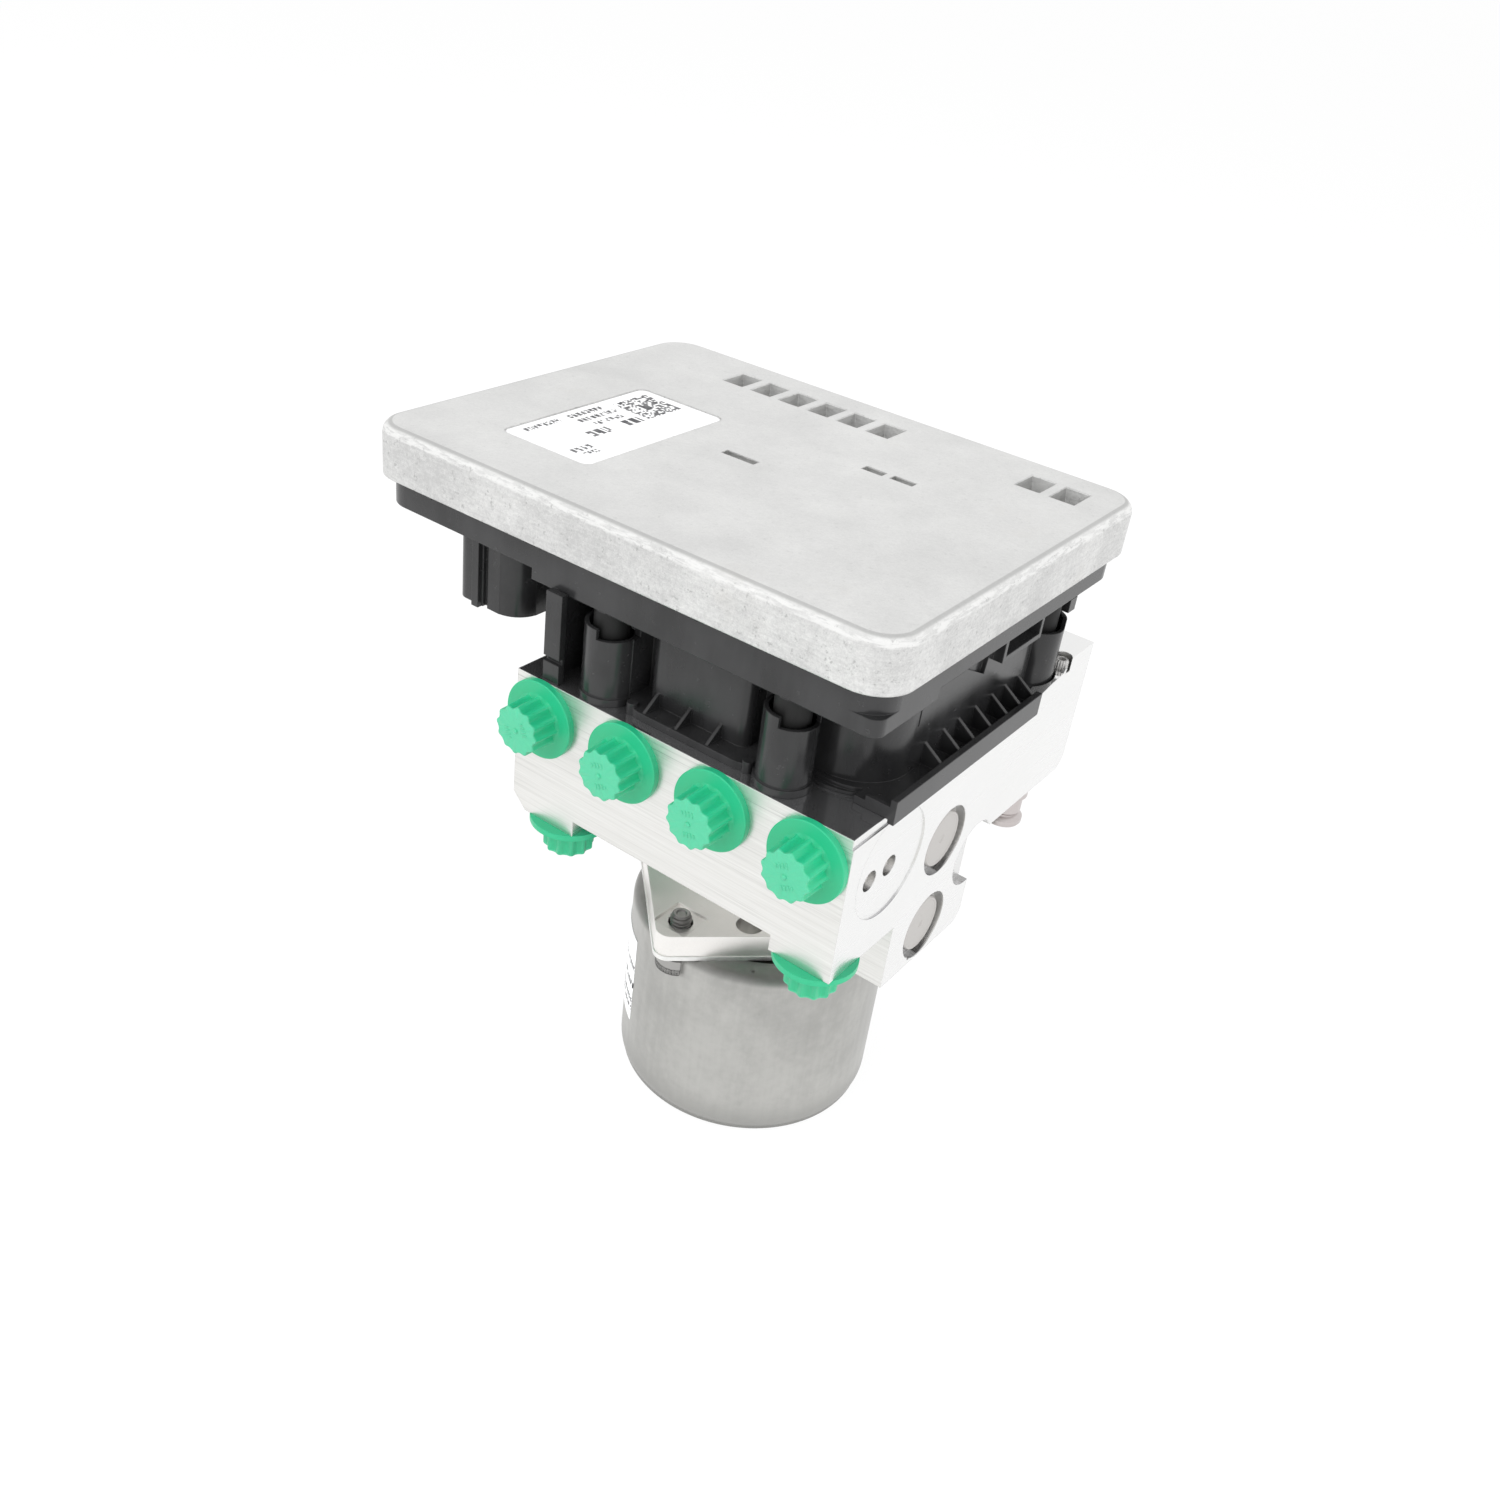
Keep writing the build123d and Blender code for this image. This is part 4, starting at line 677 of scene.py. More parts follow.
@dataclass(frozen=True)
class MachinedAlloy:
    """Milled aluminium: cutter lines on the front, turned recesses with painted shade on their
    walls, a polished top face painted dark as a painted reflection, and front and side faces
    painted darker and lighter.
    """

    name: str = "milled_block_alloy"
    colour: Colour = (0.905, 0.905, 0.90)
    side_low: Colour = (0.80, 0.80, 0.795)
    front_colour: Colour = (0.89, 0.885, 0.865)
    front_low: Colour = (0.70, 0.695, 0.67)
    line: Colour = (0.56, 0.56, 0.55)
    shade: Colour = (0.50, 0.495, 0.49)
    painted_top_reflection: Colour = (0.50, 0.50, 0.51)
    metallic: float = 0.94
    roughness: float = 0.25
    right: float = 44.2
    left: float = -47.8
    skin: float = 0.45
    near_top: Pair = (96.0, 113.0)
    top_rim: Pair = (113.2, 113.8)
    ring_rate: float = 9.0
    bores: tuple[Bore, ...] = (Bore(0.0, 67.2, 8.95), Bore(1.2, 91.1, 8.95),
                               Bore(18.6, 78.6, 8.7))

    def _recess(self, s: Shader, x: Value, y: Value, z: Value) -> tuple[Value, Value]:
        """Find the walls of the turned recesses.

        Args:
            s: The shader.
            x: Place along X in millimetres.
            y: Place along Y.
            z: Place along Z.

        Returns:
            A mask that is one inside any recess, and turning rings about its axis.
        """
        deep = (x < self.right - self.skin) * (x > self.left + self.skin)
        within: Value | Number = 0.0
        rings: Value | Number = 0.0
        for bore in self.bores:
            dy, dz = y - bore.y, z - bore.z
            reach = s.maths("SQRT", dy * dy + dz * dz)
            mask = (reach < bore.radius) * deep
            within = mask + within
            rings = s.maths("SINE", reach * self.ring_rate) * mask + rings
        return within.clamped(), rings

    def material(self) -> bpy.types.Material:
        """Build the finish.

        Returns:
            The material.
        """
        s = Shader(self.name)
        nx, ny, nz = s.axes(s.place(source="Normal"))
        x, y, z = s.axes(s.place())
        top = nz.rise(0.8, 0.95)
        front = abs(ny).rise(0.8, 0.95)
        side = abs(nx).rise(0.8, 0.95)
        along = s.noise(1.0, 3.0, 0.75, s.place(scale=(0.030, 1.0, 1.9)))
        band = s.noise(1.0, 3.0, 0.6, s.place(scale=(0.006, 1.0, 0.34)))
        haze = s.noise(0.05, 2.0, 0.5)
        across = s.noise(1.0, 3.0, 0.6, s.place(scale=(0.9, 0.02, 1.7)))
        lines = along * front + across * (1.0 - front)
        cloud = s.noise(0.035, 3.0, 0.5)
        near_top = z.rise(*self.near_top) * front
        dark_line = (1.0 - lines.rise(0.30, 0.45)) * (0.22 + 0.75 * near_top) * front
        tone = 0.56 + (cloud - 0.5) * 0.5 + (lines - 0.5) * 1.2 * front + (lines - 0.5) * 0.4
        tone = tone + (band - 0.5) * 0.6 * front + (haze - 0.5) * 0.2
        # The front faces get a darker copy of the colour and the side faces a lighter one: painted
        # shade on the front and painted light on the sides.
        low = s.blend(front, self.side_low, self.front_low)
        high = s.blend(front, self.colour, self.front_colour)
        # The top face below its rim is painted dark: a painted reflection of the black housing
        # above it; its low roughness is the real polish.
        top_reflection_share = top * (1.0 - z.rise(*self.top_rim))
        within, rings = self._recess(s, x, y, z)
        # Painted shade on the recess walls, lighter on their floors; the turning rings are laid in
        # the same dark colour.
        wall = within * (1.0 - side * 0.72)
        colour = s.layers(
            s.blend(tone.clamped(), low, high), (dark_line.clamped(), self.line),
            (top_reflection_share, self.painted_top_reflection), ((wall * 0.55 + within * rings * 0.25).clamped(), self.shade))
        rough = self.roughness + (lines - 0.5) * 0.2 + (cloud - 0.5) * 0.08 + front * 0.12
        rough = rough * (1.0 - 0.75 * top) + within * 0.08
        height = lines * (1.0 - top) + rings * 0.35
        normal = s.relief(height, 0.06, 0.45, s.rounded(0.3))
        return s.dress(Base_Color=colour, Metallic=self.metallic, Roughness=rough.clamped(),
                       Normal=normal)


@dataclass(frozen=True)
class MouldedPlastic:
    """Moulded plastic with a faint spark-eroded texture and a soft sheen."""

    name: str
    colour: Colour
    roughness: float = 0.4
    edge: float = 0.25
    grain: float = 0.012
    unevenness: float = 0.16
    lift: float = 1.25

    def material(self) -> bpy.types.Material:
        """Build the finish.

        Returns:
            The material.
        """
        s = Shader(self.name)
        fine = s.noise(4.0, 2.0, 0.6)
        broad = s.noise(0.06, 3.0, 0.5)
        flow = s.noise(1.0, 3.0, 0.6, s.place(scale=(0.12, 0.12, 0.03)))
        lighter = tuple(min(1.0, c * self.lift + 0.004) for c in self.colour)
        colour = s.blend((broad * 0.6 + fine * 0.15 + flow * 0.25).clamped(), self.colour, lighter)
        rough = self.roughness + (broad + flow - 1.0) * self.unevenness + (fine - 0.5) * 0.08
        normal = s.relief(fine, self.grain, 0.6, s.rounded(self.edge))
        return s.dress(Base_Color=colour, Roughness=rough.clamped(), Normal=normal)


@dataclass(frozen=True)
class CapPlastic:
    """The caps' soft green plastic, its knob ends painted paler: a painted highlight with a little
    pale rubbing.
    """

    name: str = "green_cap_plastic"
    colour: Colour = (0.014, 0.400, 0.192)
    lighter: Colour = (0.023, 0.438, 0.217)
    rub_and_highlight: Colour = (0.110, 0.530, 0.335)
    roughness: float = 0.36
    translucence: float = 0.06
    depth: float = 0.0015
    wheel_end: float = -50.4
    foot_end: float = 67.8

    def material(self) -> bpy.types.Material:
        """Build the finish.

        Returns:
            The material.
        """
        s = Shader(self.name)
        _, y, z = s.axes(s.place())
        fine = s.noise(3.5, 2.0, 0.6)
        broad = s.noise(0.12, 3.0, 0.5)
        # The knob ends are painted paler, mostly a painted highlight where they face the light,
        # with a little pale rubbing.
        ends = 1.0 - y.rise(self.wheel_end - 0.5, self.wheel_end)
        ends = (ends + (1.0 - z.rise(self.foot_end - 0.5, self.foot_end))).clamped()
        colour = s.blend((broad * 0.7 + fine * 0.3).clamped(), self.colour, self.lighter)
        colour = s.blend(ends * (0.55 + (fine - 0.5) * 0.3), colour, self.rub_and_highlight)
        rough = self.roughness + (broad - 0.5) * 0.1 + (fine - 0.5) * 0.06
        normal = s.relief(fine, 0.006, 0.6, s.rounded(0.14))
        return s.dress(Base_Color=colour, Roughness=rough.clamped(), Normal=normal,
                       Subsurface_Weight=self.translucence, Subsurface_Scale=self.depth)


@dataclass(frozen=True)
class HousingPlastic:
    """The housing's glossy black moulding, with painted shade, near black and dull, down its screw
    tubes.
    """

    name: str = "charcoal_housing_plastic"
    colour: Colour = (0.012, 0.012, 0.0125)
    lighter: Colour = (0.030, 0.030, 0.031)
    rub_and_highlight: Colour = (0.045, 0.045, 0.046)
    painted_tube_shade: Colour = (0.003, 0.003, 0.003)
    roughness: float = 0.23
    tubes: tuple[Pair, ...] = ((-27.0, -35.6), (21.3, -35.6), (-36.9, 44.6), (36.8, 44.6))
    tube_radius: float = 4.4
    tube_span: Pair = (126.0, 134.5)

    def material(self) -> bpy.types.Material:
        """Build the finish.

        Returns:
            The material.
        """
        s = Shader(self.name)
        x, y, z = s.axes(s.place())
        fine = s.noise(4.0, 2.0, 0.6)
        broad = s.noise(0.06, 3.0, 0.5)
        flow = s.noise(1.0, 3.0, 0.6, s.place(scale=(0.16, 0.16, 0.03)))
        rub = s.noise(0.35, 4.0, 0.7).rise(0.60, 0.74)
        base = s.blend((broad * 0.6 + flow * 0.4).rise(0.3, 0.7), self.colour, self.lighter)
        # Near black painted shade down the screw tubes, where no light reaches.
        inner: Value | Number = 0.0
        for tx, ty in self.tubes:
            dx, dy = x - tx, y - ty
            inner = (dx * dx + dy * dy < self.tube_radius ** 2) + inner
        inner = (inner * z.inside(*self.tube_span)).clamped()
        colour = s.layers(base, (rub * 0.35, self.rub_and_highlight), (inner, self.painted_tube_shade))
        rough = self.roughness + (broad + flow - 1.0) * 0.12 + rub * 0.08 + inner * 0.4
        normal = s.relief(fine * 0.05 + flow * 0.5, 0.10, 0.5, s.rounded(0.35))
        return s.dress(Base_Color=colour, Roughness=rough.clamped(), Normal=normal)


@dataclass(frozen=True)
class DrawnSteel:
    """Deep-drawn, plated sheet steel: a soft satin with clouding and a few scuffs."""

    name: str
    colour: Colour = (0.50, 0.50, 0.485)
    roughness: float = 0.42
    streaks: Point = (0.5, 0.5, 0.03)
    edge: float = 0.3
    foot: float = 0.0
    foot_span: Pair = (1.0, 13.0)
    crown_shade: float = 0.0
    speckled: Colour = (0.78, 0.78, 0.76)
    metallic: float = 0.95

    def material(self) -> bpy.types.Material:
        """Build the finish.

        Returns:
            The material.
        """
        s = Shader(self.name)
        _, _, z = s.axes(s.place())
        _, _, nz = s.axes(s.place(source="Normal"))
        streak = s.noise(1.0, 3.0, 0.55, s.place(scale=self.streaks))
        cloud = s.noise(0.035, 4.0, 0.55)
        mottle = s.noise(0.45, 4.0, 0.6)
        scuff = s.noise(0.55, 4.0, 0.7, s.place(scale=(1.0, 1.0, 0.5))).rise(0.64, 0.72)
        speckle = s.noise(1.6, 3.0, 0.7).rise(0.66, 0.76)
        tone = cloud * 0.62 + streak * 0.16 + mottle * 0.22
        base = s.blend(tone.rise(0.34, 0.66), shaded(self.colour, 0.86), shaded(self.colour, 1.16))
        # The foot share makes the can darker towards the bottom; the crown share paints its upward
        # faces darker, a painted shade under the plate.
        low = 1.0 - z.rise(*self.foot_span)
        colour = s.layers(
            base, (low * self.foot, shaded(self.colour, 0.74)),
            (nz.rise(0.1, 0.8) * self.crown_shade, shaded(self.colour, 0.30)),
            (scuff * 0.16, shaded(self.colour, 0.62)), (speckle * 0.18, self.speckled))
        rough = self.roughness + (cloud - 0.5) * 0.22 + (mottle - 0.5) * 0.12
        normal = s.relief(mottle, 0.02, 0.3, s.rounded(self.edge))
        return s.dress(Base_Color=colour, Metallic=self.metallic, Roughness=rough.clamped(),
                       Normal=normal)


@dataclass(frozen=True)
class TurnedSteel:
    """Turned or ground metal with a fine even grain."""

    name: str
    colour: Colour
    roughness: float = 0.3
    metallic: float = 1.0
    edge: float = 0.15

    def material(self) -> bpy.types.Material:
        """Build the finish.

        Returns:
            The material.
        """
        s = Shader(self.name)
        grain = s.noise(3.0, 3.0, 0.6)
        cloud = s.noise(0.2, 3.0, 0.5)
        fleck = s.noise(1.1, 3.0, 0.7).rise(0.62, 0.74)
        colour = s.blend((grain * 0.5 + cloud * 0.5).clamped(), shaded(self.colour, 0.82),
                         self.colour)
        colour = s.blend(fleck * 0.14, colour, shaded(self.colour, 0.55))
        normal = s.relief(grain, 0.015, 0.4, s.rounded(self.edge))
        rough = self.roughness + (cloud - 0.5) * 0.2 + fleck * 0.08
        return s.dress(Base_Color=colour, Metallic=self.metallic, Roughness=rough.clamped(),
                       Normal=normal)


@dataclass(frozen=True)
class PrintedRow:
    """One row of plain printed strokes: where it lies, and how wide and dense they are."""

    centre: float
    half: float
    start: float
    stop: float
    stroke: float = 0.42
    gap: float = 0.34


@dataclass(frozen=True)
class PrintedFilm:
    """White printed label with rows of plain strokes and a square of random modules."""

    name: str
    rows: tuple[PrintedRow, ...]
    code: tuple[Pair, Pair] | None = None
    module: float = 0.6
    filled: float = 0.47
    along: int = 1
    across: int = 0
    ink: Colour = (0.05, 0.05, 0.055)
    paper: Colour = (0.90, 0.90, 0.905)

    def material(self) -> bpy.types.Material:
        """Build the finish.

        Returns:
            The material.
        """
        s = Shader(self.name)
        axes = s.axes(s.place())
        u, v = axes[self.across], axes[self.along]
        ink: Value | Number = 0.0
        for row in self.rows:
            upright = s.chance(v.stepped(row.stroke), u.stepped(row.half * 0.8)) > row.gap
            word = s.chance(v.stepped(row.half * 3.1), row.centre) > 0.10
            spaced = s.maths("FRACT", v * (1.0 / (row.half * 1.55))) < 0.74
            area = u.inside(row.centre - row.half, row.centre + row.half)
            ink = area * v.inside(row.start, row.stop) * upright * spaced * word + ink
        if self.code is not None:
            across, along = self.code
            modules = s.chance(u.stepped(self.module), v.stepped(self.module)) > self.filled
            ink = u.inside(*across) * v.inside(*along) * modules + ink
        fibre = s.noise(2.0, 2.0, 0.5)
        fade = s.noise(0.25, 2.0, 0.5).rise(0.2, 0.6)
        paper = s.blend(fibre, shaded(self.paper, 0.975), self.paper)
        colour = s.blend(ink.clamped() * (0.78 + 0.22 * fade), paper, self.ink)
        return s.dress(Base_Color=colour, Roughness=0.5 + fibre * 0.1,
                       Normal=s.relief(fibre, 0.01, 0.3))


class Palette(Enum):
    """Every finish of the module by name."""

    COVER = CastAlloy()
    BLOCK = MachinedAlloy()
    HOUSING = HousingPlastic()
    CAP = CapPlastic()
    CAN = DrawnSteel("plated_can_steel", (0.455, 0.452, 0.434), 0.36, edge=2.6, foot=0.85,
                     crown_shade=0.6)
    FLANGE = DrawnSteel("plated_flange_steel", (0.82, 0.82, 0.805), 0.42, (0.4, 0.4, 0.4),
                        edge=0.2)
    PLATE = TurnedSteel("bright_plate_metal", (1.0, 0.98, 0.95), 0.34, metallic=0.96, edge=0.35)
    SCREW = TurnedSteel("dark_zinc_screw", (0.22, 0.215, 0.21), 0.34)
    HEAD = TurnedSteel("plated_screw_head", (0.46, 0.455, 0.44), 0.38)
    PLUG = TurnedSteel("turned_plug_steel", (0.66, 0.64, 0.62), 0.40)
    STUD = TurnedSteel("plated_stud_steel", (0.66, 0.61, 0.60), 0.33)
    PIN = TurnedSteel("knurled_pin_steel", (0.66, 0.65, 0.64), 0.60, metallic=0.7)
    SEAL = MouldedPlastic("dark_sealant", (0.02, 0.02, 0.02), 0.6)
    BOARD = MouldedPlastic("green_board_lacquer", (0.02, 0.11, 0.04), 0.25)
    CHIP = MouldedPlastic("black_chip_resin", (0.015, 0.015, 0.015), 0.5)
    ALLOY = TurnedSteel("soft_drawn_alloy", (0.75, 0.75, 0.77), 0.3)
    BRASS = TurnedSteel("tinned_brass", (0.72, 0.58, 0.32), 0.3)
    COIL = MouldedPlastic("coil_resin", (0.03, 0.03, 0.034), 0.45)
    STEEL = TurnedSteel("ground_steel", (0.56, 0.56, 0.58), 0.25)
    CORE = TurnedSteel("sheet_core_iron", (0.22, 0.22, 0.23), 0.5)
    COPPER = TurnedSteel("lacquered_copper", (0.70, 0.33, 0.17), 0.3)
    FERRITE = MouldedPlastic("sintered_ferrite", (0.05, 0.05, 0.055), 0.6)
    CARBON = MouldedPlastic("pressed_carbon", (0.03, 0.03, 0.03), 0.55)
    HOLDER = MouldedPlastic("brush_plate_plastic", (0.05, 0.045, 0.04), 0.5)
    COVER_LABEL = PrintedFilm(
        "cover_label_print",
        (PrintedRow(-71.7, 0.95, -18.0, 10.5, 0.5, 0.2), PrintedRow(-68.4, 0.95, -3.0, 10.5, 0.5),
         PrintedRow(-65.1, 0.95, -1.0, 10.5, 0.5), PrintedRow(-61.0, 1.6, -8.0, 10.5, 0.72, 0.2),
         PrintedRow(-56.2, 1.1, -18.5, -12.0, 0.5), PrintedRow(-53.4, 0.8, -17.5, -13.0, 0.5)),
        code=((-71.6, -59.6), (12.2, 24.6)))
    MOTOR_LABEL = PrintedFilm(
        "motor_label_print",
        (PrintedRow(20.0, 0.7, -40.0, -10.0), PrintedRow(22.6, 0.7, -40.0, -10.0),
         PrintedRow(27.4, 0.9, -40.0, -10.0), PrintedRow(33.0, 0.7, -40.0, -10.0)),
        along=0, across=2)

    def material(self) -> bpy.types.Material:
        """The finish's material, made once."""
        name = self.value.name
        return bpy.data.materials.get(name) or self.value.material()


def dress(piece: bpy.types.Object, finish: Palette) -> None:
    """Give a piece one finish all over.

    Args:
        piece: The object.
        finish: Its finish.
    """
    material = finish.material()
    if piece.material_slots:
        for slot in piece.material_slots:
            slot.material = material
    else:
        piece.data.materials.append(material)


# ------------------------------------------------------------------ fittings
def stand_in(piece: bpy.types.Object, node: str, finish: Palette,
             body: str = "unit") -> bpy.types.Object:
    """Dress a piece and let it stand for a carried-over node.

    Args:
        piece: The piece, its mesh final.
        node: The node that it stands for.
        finish: Its finish.
        body: The body that it rides on.

    Returns:
        The piece.
    """
    dress(piece, finish)
    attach(piece, body)
    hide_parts(node)
    return piece


def at(x: float, y: float, z: float) -> Matrix:
    """A move to a place in millimetres."""
    return Matrix.Translation(Vector((x, y, z)) * MM)


def turned(degrees: float, axis: str) -> Matrix:
    """A turn about one axis."""
    return Matrix.Rotation(math.radians(degrees), 4, axis)


class Fitting(Protocol):
    """Anything that models pieces and puts them on the module."""

    def build(self) -> list[bpy.types.Object]:
        """Model the pieces."""


@dataclass
class TransitCaps:
    """The six green caps screwed into the ports for carriage."""

    flange_radius: float = 9.6
    flange: float = 1.5
    knob_radius: float = 6.25
    reach: float = 8.75
    pip_radius: float = 0.62
    flutes: int = 12
    points_per_flute: int = 8
    groove: tuple[float, ...] = (0.978, 0.930, 0.890, 0.875)
    groove_foot: float = 4.5
    shank_radius: float = 5.06
    shank: float = 7.9
    thread_depth: float = 0.55
    thread_pitch: float = 1.0
    mark_slots: tuple[float, ...] = (-1.35, -0.45, 0.45, 1.35)
    mark_row: float = 2.5
    mark_half: float = 0.17
    mark_heights: Pair = (0.42, 0.62)
    wheel_ports: tuple[float, ...] = (-39.7, -15.0, 9.7, 34.4)
    wheel_rolls: tuple[float, ...] = (-62.0, 18.0, 12.0, 24.0)
    wheel_face: float = -42.3
    wheel_level: float = 103.6
    foot_ports: tuple[Pair, ...] = ((-35.7, -35.4), (36.2, -35.4))
    foot_rolls: Pair = (11.0, 18.0)
    foot_level: float = 75.8

    def _depth(self, p: Vector) -> int:
        """How many points a place lies in from the ridge between two grooves.

        Args:
            p: The place in millimetres.

        Returns:
            Nought on a ridge, and the most in the middle of a groove.
        """
        step = math.tau / (self.flutes * self.points_per_flute)
        index = round(math.atan2(p.y, p.x) / step) % self.points_per_flute
        return min(index, self.points_per_flute - index)

    def _draw_in(self, bench: Bench, low: float, high: float, depth_share: float) -> None:
        """Draw in the knob's grooves between two levels.

        Args:
            bench: The cap on the bench.
            low: Lower level in millimetres.
            high: Upper level.
            depth_share: Share of the full depth.
        """
        rim = self.knob_radius + 0.3
        for depth, factor in enumerate(self.groove, start=1):
            drawn = 1.0 - (1.0 - factor) * depth_share
            bench.pick_points(
                lambda p, depth=depth: low < p.z < high and self._depth(p) == depth
                and self.groove_foot < math.hypot(p.x, p.y) < rim).swell((drawn, drawn, 1.0))

    def _body(self) -> bpy.types.Object:
        """Model one cap upright, its flange lying on the level of nought.

        Returns:
            The cap.
        """
        knob, reach, base = self.knob_radius, self.reach, self.flange
        bench = Bench("cap_form").cylinder(self.flange_radius, 0.0, base,
                                           self.flutes * self.points_per_flute)
        bench.end_face().turn([(self.flange_radius, base), (self.flange_radius - 0.22, base + 0.16),
                               (knob + 0.50, base + 0.18), (knob + 0.16, base + 0.26),
                               (knob + 0.02, base + 0.60), (knob - 0.14, reach - 0.42),
                               (knob - 0.28, reach - 0.14), (knob - 0.62, reach)])
        self._draw_in(bench, base + 0.5, reach - 0.3, 1.0)
        self._draw_in(bench, reach - 0.2, reach - 0.05, 0.8)
        self._draw_in(bench, reach - 0.04, reach + 0.1, 0.5)
        bench.end_face().turn([(knob - 0.62, reach), (self.pip_radius, reach + 0.002)])
        bench.turn([(self.pip_radius, reach), (self.pip_radius - 0.02, reach + 0.22),
                    (self.pip_radius - 0.32, reach + 0.42)])
        radius, end = self.shank_radius, -self.shank
        bench.end_face(up=False).turn([
            (self.flange_radius, 0.0), (self.flange_radius - 0.3, -0.001), (radius, -0.002),
            (radius, -0.9),
            *thread(radius, radius - self.thread_depth, -1.0, end + 0.9, -self.thread_pitch),
            (radius - 0.6, end + 0.5), (radius - 1.0, end)])
        bench.turn([(radius - 1.0, end), (radius - 1.5, end), (radius - 1.6, -0.6)])
        return bench.done(32.0)

    def _marks(self) -> list[bpy.types.Object]:
        """Model the small raised moulding marks either side of the pip.

        Returns:
            The marks.
        """
        short, tall = self.mark_heights
        marks = []
        for row in (-1.0, 1.0):
            for slot in self.mark_slots:
                height = tall if slot * row > 0.9 or abs(slot) < 0.5 else short
                bench = Bench("cap_mark").block(
                    (slot - self.mark_half, row * self.mark_row - height, self.reach - 0.1),
                    (slot + self.mark_half, row * self.mark_row + height, self.reach + 0.16))
                bench.pick_edges(lambda c, d: c.z > self.reach).round_off(0.07, 2)
                marks.append(bench.done())
        return marks

    def _places(self) -> dict[str, Matrix]:
        """Find where each cap goes.

        Returns:
            Each cap's place by its node.
        """
        places = {}
        for i, (x, roll) in enumerate(zip(self.wheel_ports, self.wheel_rolls), start=1):
            place = at(x, self.wheel_face, self.wheel_level) @ turned(90.0, "X")
            places[f"cap_wheel_{i}"] = place @ turned(roll, "Z")
        for i, ((x, y), roll) in enumerate(zip(self.foot_ports, self.foot_rolls), start=1):
            place = at(x, y, self.foot_level) @ turned(180.0, "X")
            places[f"cap_master_{i}"] = place @ turned(roll, "Z")
        return places

    def build(self) -> list[bpy.types.Object]:
        """Model the cap once and put a copy in each port.

        Returns:
            The six caps.
        """
        form = joined([self._body(), *self._marks()], "cap_form")
        places = self._places()
        caps = spread(form, {"fluted_" + node: place for node, place in places.items()})
        return [stand_in(cap, node, Palette.CAP, node + "_body")
                for cap, node in zip(caps, places)]


@dataclass
class MotorFixings:
    """The two screws that hold the motor, with their threaded tips above the plate."""

    places: tuple[Pair, ...] = ((-4.2, -29.5), (-4.2, 29.5))
    head_radius: float = 5.15
    head_low: float = 45.5
    head_top: float = 50.8
    thread_low: float = 55.2
    thread_radius: float = 2.6
    thread_depth: float = 0.42
    thread_pitch: float = 0.95
    dark_above: float = 54.2
    tip: float = 59.9

    def _form(self) -> bpy.types.Object:
        """Turn one screw upright, with its ringed head and its thread.

        Returns:
            The screw.
        """
        head, top, low, tip = self.head_radius, self.head_top, self.head_low, self.tip
        radius, start = self.thread_radius, self.thread_low
        bench = Bench("motor_screw_form").cylinder(head, low, top - 2.0, 48)
        bench.end_face().turn([
            (head, top - 2.0), (head - 0.5, top - 1.95), (head - 0.5, top - 1.5),
            (head, top - 1.45), (head, top - 0.9), (head - 0.35, top - 0.85),
            (head - 0.35, top - 0.5), (head, top - 0.45), (head, top), (radius, top + 0.001),
            (radius, start),
            *thread(radius, radius - self.thread_depth, start, tip - 0.3, self.thread_pitch),
            (radius - 0.35, tip - 0.3), (radius - 0.75, tip), (1.3, tip), (1.0, tip - 0.35)])
        bench.end_face(up=False).turn([(head, low), (head, low - 0.001), (2.7, low - 0.002),
                                       (2.6, low + 2.3)])
        bench.pick_edges(lambda c, d: abs(c.z - low) < 0.02
                         and math.hypot(c.x, c.y) > head - 0.1).round_off(0.9, 4)
        return bench.done()

    def build(self) -> list[bpy.types.Object]:
        """Model one screw and copy it, its tip in darker metal.

        Returns:
            The screws.
        """
        screws = spread(self._form(), {f"motor_screw_{i}": at(x, y, 0.0)
                                       for i, (x, y) in enumerate(self.places, start=1)})
        pair = joined(screws, "threaded_motor_screws")
        stand_in(pair, "motor_screws", Palette.HEAD)
        pair.data.materials.append(Palette.SCREW.material())
        for face in pair.data.polygons:
            if face.center.z > self.dark_above * MM and face.normal.z < 0.9:
                face.material_index = 1
        return [pair]


